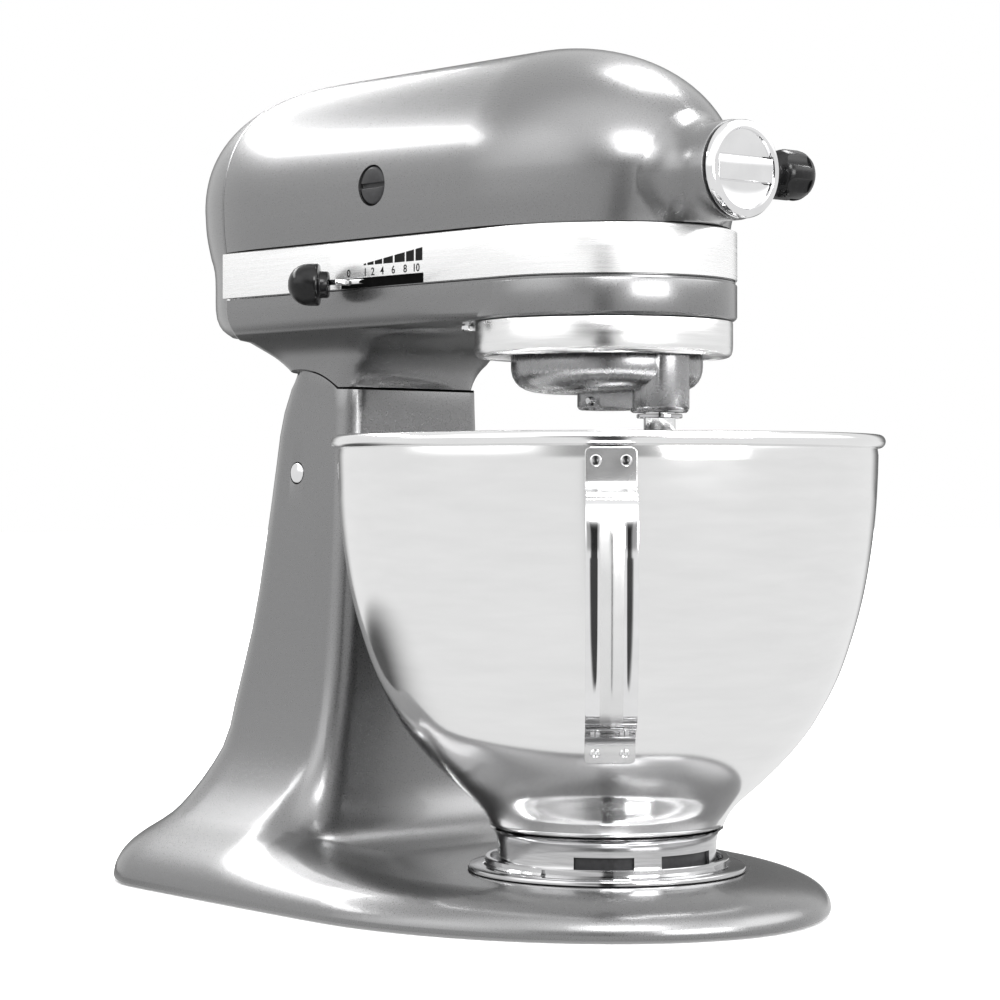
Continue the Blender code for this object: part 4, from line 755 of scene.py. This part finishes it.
flat = lambda u, v, w: (u, v, w)
band = slab("speed_band", band_path(BAND_R, 188.4) + band_path(BAND_R - 1.0, 188.4)[::-1], flat, BAND_LOW, BAND_HIGH, SATIN)
boolean(band, [box("band_notch", (-70, 51.4, 240), (-44, 105.2, 259.2))])
bevel(band, 0.22, 60, 2)
settle(band, 35)
piece(band, "head", "trim_band")
# painted shade: a near-black sheet behind the lever slot stands in for the shade inside it
lever_slot_shade = box("lever_slot_painted_shade", (-53.6, 47.5, 255.3), (-53.0, 108.5, 259.8), INSIDE)
bevel(lever_slot_shade, 0.1, 30, 1)
settle(lever_slot_shade)
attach(lever_slot_shade, "head")

MARK_X = -(BAND_R + 0.06)
BARS = [(89.7, 88.1), (87.2, 83.2), (82.4, 77.6), (76.8, 70.7), (69.6, 63.1), (62.2, 57.2), (56.2, 51.9)]
for number, (rear, front) in enumerate(BARS, 1):
    top = lambda y: 265.0 + (89.5 - y) / 37.3 * 4.6
    outline = [(rear, 264.3), (front, 264.3), (front, top(front)), (rear, top(rear))]
    mark = slab(f"scale_bar_{number}", outline, side, MARK_X, -(BAND_R - 0.3), INK)
    settle(mark)
    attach(mark, "head")
for text, y in (("0", 99.6), ("1", 88.6), ("2", 83.7), ("4", 77.6), ("6", 70.4), ("8", 62.8), ("10", 55.9)):
    letters = bpy.data.curves.new(f"numeral_{text}", "FONT")
    letters.body = text
    letters.size = 0.0046
    letters.extrude = 0.00012
    letters.offset = 0.00005
    letters.align_x = "CENTER"
    letters.align_y = "CENTER"
    drawn = bpy.data.objects.new(f"numeral_{text}", letters)
    bpy.context.scene.collection.objects.link(drawn)
    drawn.matrix_world = Matrix.Translation(P(-(BAND_R - 0.04), y, 261.3)) @ Matrix(((0, 0, -1, 0), (-1, 0, 0, 0), (0, 1, 0, 0), (0, 0, 0, 1)))
    settled = bpy.data.meshes.new_from_object(drawn.evaluated_get(bpy.context.evaluated_depsgraph_get()))
    solid = bpy.data.objects.new(f"scale_number_{text}", settled)
    solid.data.transform(Matrix.Translation(P(-(BAND_R - 0.04), y, 261.3)) @ Matrix(((0, 0, -1, 0), (-1, 0, 0, 0), (0, 1, 0, 0), (0, 0, 0, 1))))
    bpy.data.objects.remove(drawn, do_unlink=True)
    bpy.context.scene.collection.objects.link(solid)
    solid.data.materials.clear()
    solid.data.materials.append(INK)
    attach(solid, "head")

# ---------------------------------------------------------------- drip ring and planetary
piece(turned(
    "drip_ring_polished",
    [(43.0, 238.7), (51.9, 238.7), (52.4, 238.5), (52.6, 238.0), (52.6, 229), (52.45, 227), (52.0, 225.5), (51.2, 224.6), (50.2, 224.2), (49.3, 224.2), (48.7, 224.6),
     (48.6, 225.4), (48.6, 236.6), (43.0, 236.6)],
    0, COLLAR_Y, 0, sides=160, look=RING, closed=True), "head", "drip_ring")

AG_X, AG_Y = 6.0, -24.27
planet = turned(
    "planetary_casting",
    [(0, 226.2), (37.6, 226.2), (38.6, 225.9), (39.0, 225.0), (39.0, 220.5), (38.85, 218.6), (38.3, 216.4), (37.2, 214.4), (35.6, 212.7), (33.4, 211.4), (30.6, 210.5), (26, 209.9), (0, 209.0)],
    sides=128, look=ALLOY)
boss_a = turned("agitator_boss", [(0, 17), (12.0, 17), (12.0, 1.6), (11.6, 0.6), (10.8, 0), (0, 0)], AG_X, AG_Y, 201.6, sides=72)
boss_b = turned("middle_boss", [(0, 15), (12.0, 15), (12.0, 1.4), (11.4, 0.4), (10.6, 0), (0, 0)], 0, 0, 203.0, sides=72)
direction = math.atan2(AG_Y, AG_X)
web = slab("boss_web", [(0, -11.2), (25, -11.2), (25, 11.2), (0, 11.2)],
           lambda u, v, w: (u * math.cos(direction) - v * math.sin(direction), u * math.sin(direction) + v * math.cos(direction), w), 203.4, 216)
fairing = turned("boss_front", [(0, 22), (11.4, 22), (11.4, 1.8), (10.9, 0.6), (10.0, 0), (0, 0)], 0.4, -30.6, 202.0, sides=72)
boolean(planet, [boss_a, boss_b, web, fairing], "UNION")
boolean(planet, [rod("agitator_bore_cut", AG_X, AG_Y, 190, "Z", 40, 6.8), rod("pin_bore_cut", -30, -3, 206.6, "X", 22, 1.9)])
bevel(planet, 0.8, 50, 3)
settle(planet, 40)
piece(planet, "planetary", "planetary_housing")
piece(turned("retaining_pin", [(0, 5.2), (1.2, 5.2), (1.6, 4.8), (1.6, 0.3), (1.2, 0), (0, 0)], -13.6, -3, 206.6, "X", 32, FOOT_STEEL), "planetary", "planetary_pin")
shaft = turned("beater_shaft", [(0, 237.2), (4.2, 237.2), (4.2, 226.6), (6.35, 226.6), (6.35, 168.0), (6.1, 166.8), (5.4, 165.6), (4.6, 165), (0, 165)], AG_X, AG_Y, 0, sides=80, look=CHROME)
piece(shaft, "agitator", "agitator_shaft")
piece(turned("beater_pin", [(0, 19.2), (1.0, 19.2), (1.5, 18.8), (1.6, 18.2), (1.6, 1.0), (1.5, 0.4), (1.0, 0), (0, 0)], AG_X - 9.6, AG_Y, 184, "X", 32, CHROME), "agitator", "agitator_cross_pin")
piece(turned("shaft_washer", [(6.65, 201.1), (8.9, 201.1), (9.2, 200.8), (9.2, 199.7), (8.9, 199.4), (6.65, 199.4)], AG_X, AG_Y, 0, sides=56, look=FOOT_STEEL, closed=True), "agitator", "agitator_washer")

# ---------------------------------------------------------------- hub cap, its knob, the brush caps
cap = turned(
    "hub_cap_polished",
    [(0, 2.2), (15.0, 2.2), (15.3, 2.3), (15.5, 3.5), (15.9, 3.9), (17.6, 3.9), (18.6, 3.5), (19.1, 2.6), (19.2, 1.6), (19.2, 0.3), (18.9, 0), (15.2, 0), (15.2, -7), (0, -7)],
    0, -74.1, HUB_Z, "-Y", 128, CHROME)
bar_half = [(-15.3, -4.7), (15.3, -4.7), (15.3, 4.7), (-15.3, 4.7)]
boolean(cap, [slab(f"cap_groove_{k}", [(-15.0, v), (15.0, v), (15.0, v + 0.55), (-15.0, v + 0.55)], lambda u, v, w: (u, w, HUB_Z + v), -78.5, -74.9) for k, v in enumerate((-5.45, 4.9))])
bar = slab("hub_cap_bar", bar_half, lambda u, v, w: (u, w, HUB_Z + v), -77.75, -75.2, CHROME)
bevel(bar, 0.5, 30, 3)
settle(bar)
boolean(cap, [bar], "UNION")
settle(cap, 35)
piece(cap, "hub_cap", "hub_cap")

piece(turned("knob_stem", [(0, 9.6), (3.1, 9.6), (3.1, 1.0), (2.4, 0), (0, 0)], 16.2, -62, 296.6, "X", 48, FOOT_STEEL), "attachment_knob", "attachment_stem")
knob = turned(
    "hub_knob",
    [(0, 22.5), (5.4, 22.5), (7.6, 22.1), (9.0, 21.2), (9.9, 19.4), (10.25, 17.0), (10.25, 9.0), (9.6, 7.0), (8.2, 5.8), (6.4, 5.2), (5.6, 4.6), (5.6, 0.3), (5.2, 0), (0, 0)],
    26.1, -62, 296.6, "X", 96, BLACK)
flutes = []
for k in range(6):
    turn = math.radians(60 * k + 30)
    flutes.append(rod(f"flute_{k}", 30.6, -62 + 15.3 * math.cos(turn), 296.6 + 15.3 * math.sin(turn), "X", 14.0, 6.3, 48))
boolean(knob, flutes)
bevel(knob, 0.5, 32, 2)
settle(knob, 40)
piece(knob, "attachment_knob", "attachment_knob")

for side_name, x in (("right", 1), ("left", -1)):
    aim = "X" if x > 0 else "-X"
    button = turned(f"brush_cap_disc_{side_name}", [(0, 5.5), (6.8, 5.5), (7.6, 5.2), (8.0, 4.5), (8.1, 3.6), (8.1, 0), (0, 0)], x * 50.6, BRUSH_Y, HEAD_Z, aim, 72, DARK)
    boolean(button, [box("slot", (min(x * 54.6, x * 62), BRUSH_Y - 9, HEAD_Z - 1.0), (max(x * 54.6, x * 62), BRUSH_Y + 9, HEAD_Z + 1.0))])
    bevel(button, 0.2, 45, 2)
    settle(button, 40)
    piece(button, "head", f"brush_cap_{side_name}")

# ---------------------------------------------------------------- speed lever and head lock
lever = box("lever_strip", (-63.5, 97.0, 256.3), (-44, 102.0, 258.5), CHROME)
pointer = box("lever_tip", (-58.6, 87.6, 256.5), (-55.6, 99.0, 258.3))
boolean(lever, [pointer], "UNION")
bevel(lever, 0.35, 40, 2)
settle(lever)
piece(lever, "speed_lever", "speed_lever_arm")
lever_knob = turned(
    "lever_knob",
    [(0, 17.2), (2.4, 16.9), (4.6, 16.0), (6.5, 14.5), (7.8, 12.6), (8.6, 10.4), (8.85, 8.4), (8.9, 5.6), (8.85, 4.5), (8.5, 4.0), (6.4, 3.8), (5.9, 3.5), (5.7, 3.0), (5.6, 0.5), (5.2, 0), (0, 0)],
    0, Y_MID, 0, "Z", 96, BLACK)
lever_knob.data.transform(Matrix.Translation(P(-62.3, 103.0, 256.6)) @ Vector((-0.70, 0.71, 0)).to_track_quat("Z", "Y").to_matrix().to_4x4())
boolean(lever_knob, [box("knob_socket_cut", (-64.0, 96, 255.9), (-50, 103.2, 258.9))])
bevel(lever_knob, 0.3, 40, 2)
settle(lever_knob, 42)
piece(lever_knob, "speed_lever", "speed_lever_knob")
lock_knob = turned("lock_knob", [(0, 11), (2.6, 10.9), (4.6, 10.3), (5.8, 9.0), (6.2, 7.4), (6.2, 2.4), (5.9, 1.0), (5.4, 0.2), (0, 0)], 44.8, 145.4, 187.7, "X", 64, BLACK)
piece(lock_knob, "lock_lever", "lock_lever_knob")

# ---------------------------------------------------------------- floor, light, camera
def level(tree, source, from_low, from_high, to_low, to_high):
    made = add(tree, "ShaderNodeMapRange", interpolation_type="SMOOTHSTEP")
    made.inputs["From Min"].default_value = from_low
    made.inputs["From Max"].default_value = from_high
    made.inputs["To Min"].default_value = to_low
    made.inputs["To Max"].default_value = to_high
    tree.links.new(source, made.inputs["Value"])
    return made.outputs["Result"]


def dot(tree, source, direction):
    made = add(tree, "ShaderNodeVectorMath", operation="DOT_PRODUCT")
    tree.links.new(source, made.inputs[0])
    made.inputs[1].default_value = direction
    return made.outputs["Value"]


def math_node(tree, how, first, second):
    made = add(tree, "ShaderNodeMath", operation=how)
    for i, value in enumerate((first, second)):
        if isinstance(value, (int, float)):
            made.inputs[i].default_value = value
        else:
            tree.links.new(value, made.inputs[i])
    return made.outputs["Value"]


bm = bmesh.new()
bmesh.ops.create_grid(bm, x_segments=8, y_segments=8, size=9.0)
paper = bpy.data.materials.new("floor_white_painted_glow")
paper.use_nodes = True
ft = paper.node_tree
ft.nodes.clear()
shown = ft.nodes.new("ShaderNodeOutputMaterial")
place = ft.nodes.new("ShaderNodeTexCoord")
reach = add(ft, "ShaderNodeVectorMath", operation="LENGTH")
ft.links.new(place.outputs["Object"], reach.inputs[0])
# painted light for the camera: the floor glows from 0.14 close to the mixer up to 1.0 farther out, so it reads white
# away from the base and darker close to it
camera_floor_glow = add(ft, "ShaderNodeEmission")
ft.links.new(level(ft, reach.outputs["Value"], 0.24, 0.6, 0.14, 1.0), camera_floor_glow.inputs["Strength"])
lit = add(ft, "ShaderNodeBsdfDiffuse")
lit.inputs["Color"].default_value = (0.93, 0.93, 0.93, 1)
both = ft.nodes.new("ShaderNodeAddShader")
ft.links.new(camera_floor_glow.outputs[0], both.inputs[0])
ft.links.new(lit.outputs[0], both.inputs[1])
# painted light and shade for reflections and bounce: for rays other than the camera's the floor glows, with a dark
# patch and wedge behind the mixer and a dark narrow strip running toward the camera
painted_floor_glow = add(ft, "ShaderNodeEmission")
patch = add(ft, "ShaderNodeVectorMath", operation="DISTANCE")
ft.links.new(place.outputs["Object"], patch.inputs[0])
patch.inputs[1].default_value = (0.1, 0.36, 0.0)
near_patch = level(ft, patch.outputs["Value"], 0.16, 0.4, 0.1, 0.9)
back_along = dot(ft, place.outputs["Object"], (0.6914, 0.7225, 0))
back_off = math_node(ft, "ABSOLUTE", dot(ft, place.outputs["Object"], (0.7225, -0.6914, 0)), 0.0)
back_wedge = level(ft, math_node(ft, "DIVIDE", back_off, math_node(ft, "MAXIMUM", back_along, 0.02)), 0.25, 0.65, 0.2, 1.0)
rear_dark = math_node(ft, "MULTIPLY", near_patch, math_node(ft, "MAXIMUM", back_wedge, level(ft, back_along, 0.3, 0.55, 1.0, 0.0)))
off_line = math_node(ft, "ABSOLUTE", math_node(ft, "ADD", dot(ft, place.outputs["Object"], (0.7225, -0.6914, 0)), -0.0468), 0.0)
along_line = math_node(ft, "MAXIMUM", math_node(ft, "ADD", dot(ft, place.outputs["Object"], (-0.6914, -0.7225, 0)), -0.15), 0.02)
line = level(ft, math_node(ft, "DIVIDE", off_line, along_line), 0.1, 0.2, 0.07, 1.0)
front_only = level(ft, dot(ft, place.outputs["Object"], (-0.6914, -0.7225, 0)), 0.2, 0.24, 1.0, 0.0)
ft.links.new(math_node(ft, "MULTIPLY", rear_dark, math_node(ft, "MAXIMUM", line, front_only)), painted_floor_glow.inputs["Strength"])
ray = ft.nodes.new("ShaderNodeLightPath")
choose = ft.nodes.new("ShaderNodeMixShader")
ft.links.new(ray.outputs["Is Camera Ray"], choose.inputs[0])
ft.links.new(painted_floor_glow.outputs[0], choose.inputs[1])
ft.links.new(both.outputs[0], choose.inputs[2])
ft.links.new(choose.outputs[0], shown.inputs["Surface"])
floor = from_bmesh("floor", bm, paper)
floor.location.z = -0.0004


def area(name, where, at, size, power, shape="RECTANGLE"):
    light = bpy.data.lights.new(name, "AREA")
    light.shape = shape
    light.size, light.size_y = size
    light.energy = power
    holder = bpy.data.objects.new(name, light)
    bpy.context.scene.collection.objects.link(holder)
    holder.location = where
    holder.rotation_euler = (Vector(at) - Vector(where)).to_track_quat("-Z", "Y").to_euler()
    return holder


area("top_box", (0.5, 0.08, 1.3), (0.0, 0.0, 0.1), (0.34, 0.55), 9)
area("band_box", (-0.15, 1.15, 1.02), (0.0, 0.0, 0.32), (1.9, 0.2), 9)
area("front_box", (-0.75, -1.15, 1.05), (0.0, 0.0, 0.2), (0.7, 0.5), 14)
area("nose_box", (-0.1, -1.6, 0.46), (0.0, -0.1, 0.3), (0.9, 0.45), 12)

world = bpy.data.worlds.new("studio")
bpy.context.scene.world = world
world.use_nodes = True
wt = world.node_tree
back = wt.nodes["Background"]
coords = wt.nodes.new("ShaderNodeTexCoord")
way = coords.outputs["Generated"]
height = dot(wt, way, (0, 0, 1))
across = math_node(wt, "ABSOLUTE", dot(wt, way, (0.7225, -0.6914, 0.0)), 0.0)
toward = dot(wt, way, (-0.6914, -0.7225, 0.0))
behind = level(wt, toward, -0.96, -0.84, 0.16, 0.9)
front_glow = math_node(wt, "MULTIPLY", level(wt, height, 0.22, 0.62, 0.0, 1.0), level(wt, toward, -0.1, 0.5, 0.0, 1.0))
overhead = level(wt, height, 0.55, 0.95, 0.0, 0.1)
left_glow = math_node(wt, "MULTIPLY", level(wt, dot(wt, way, (-0.95, 0.24, 0.18)), 0.8, 0.99, 0.0, 1.1), level(wt, height, 0.04, 0.2, 0.0, 1.0))
right_glow = math_node(wt, "MULTIPLY", level(wt, dot(wt, way, (0.68, -0.66, 0.3)), 0.78, 0.98, 0.0, 2.6), level(wt, height, 0.16, 0.34, 0.0, 1.0))
overhead = math_node(wt, "ADD", overhead, math_node(wt, "ADD", left_glow, right_glow))
near = level(wt, toward, 0.1, 0.5, 0.0, 1.0)
narrow = math_node(wt, "MULTIPLY", math_node(wt, "MULTIPLY", level(wt, across, 0.07, 0.14, 1.0, 0.0), level(wt, height, 0.3, 0.5, 1.0, 0.0)), near)
broad = math_node(wt, "MULTIPLY", math_node(wt, "MULTIPLY", level(wt, across, 0.2, 0.55, 1.0, 0.0), level(wt, height, 0.015, 0.06, 0.0, 1.0)), math_node(wt, "MULTIPLY", near, level(wt, height, 0.3, 0.5, 1.0, 0.0)))
gap = math_node(wt, "MULTIPLY", math_node(wt, "SUBTRACT", 1.0, math_node(wt, "MULTIPLY", narrow, 0.94)), math_node(wt, "SUBTRACT", 1.0, math_node(wt, "MULTIPLY", broad, 0.55)))
studio = math_node(wt, "ADD", math_node(wt, "MULTIPLY", behind, gap), math_node(wt, "ADD", front_glow, overhead))
path = wt.nodes.new("ShaderNodeLightPath")
strength = wt.nodes.new("ShaderNodeMix")
wt.links.new(path.outputs["Is Camera Ray"], strength.inputs[0])
wt.links.new(studio, strength.inputs[2])
strength.inputs[3].default_value = 1.0
wt.links.new(strength.outputs[0], back.inputs["Strength"])
back.inputs["Color"].default_value = (1, 1, 1, 1)

camera = bpy.data.cameras.new("camera")
camera.sensor_width = 36
camera.lens = 104.472
camera.shift_y = -0.0098
camera.clip_start = 0.01
holder = bpy.data.objects.new("camera", camera)
bpy.context.scene.collection.objects.link(holder)
holder.location = (-0.8208, (-849.6 - Y_MID) / 1000.0, 0.1705)
holder.rotation_euler = (math.radians(90), 0, math.radians(-41.905))
bpy.context.scene.camera = holder
bpy.context.scene.view_settings.view_transform = "Standard"
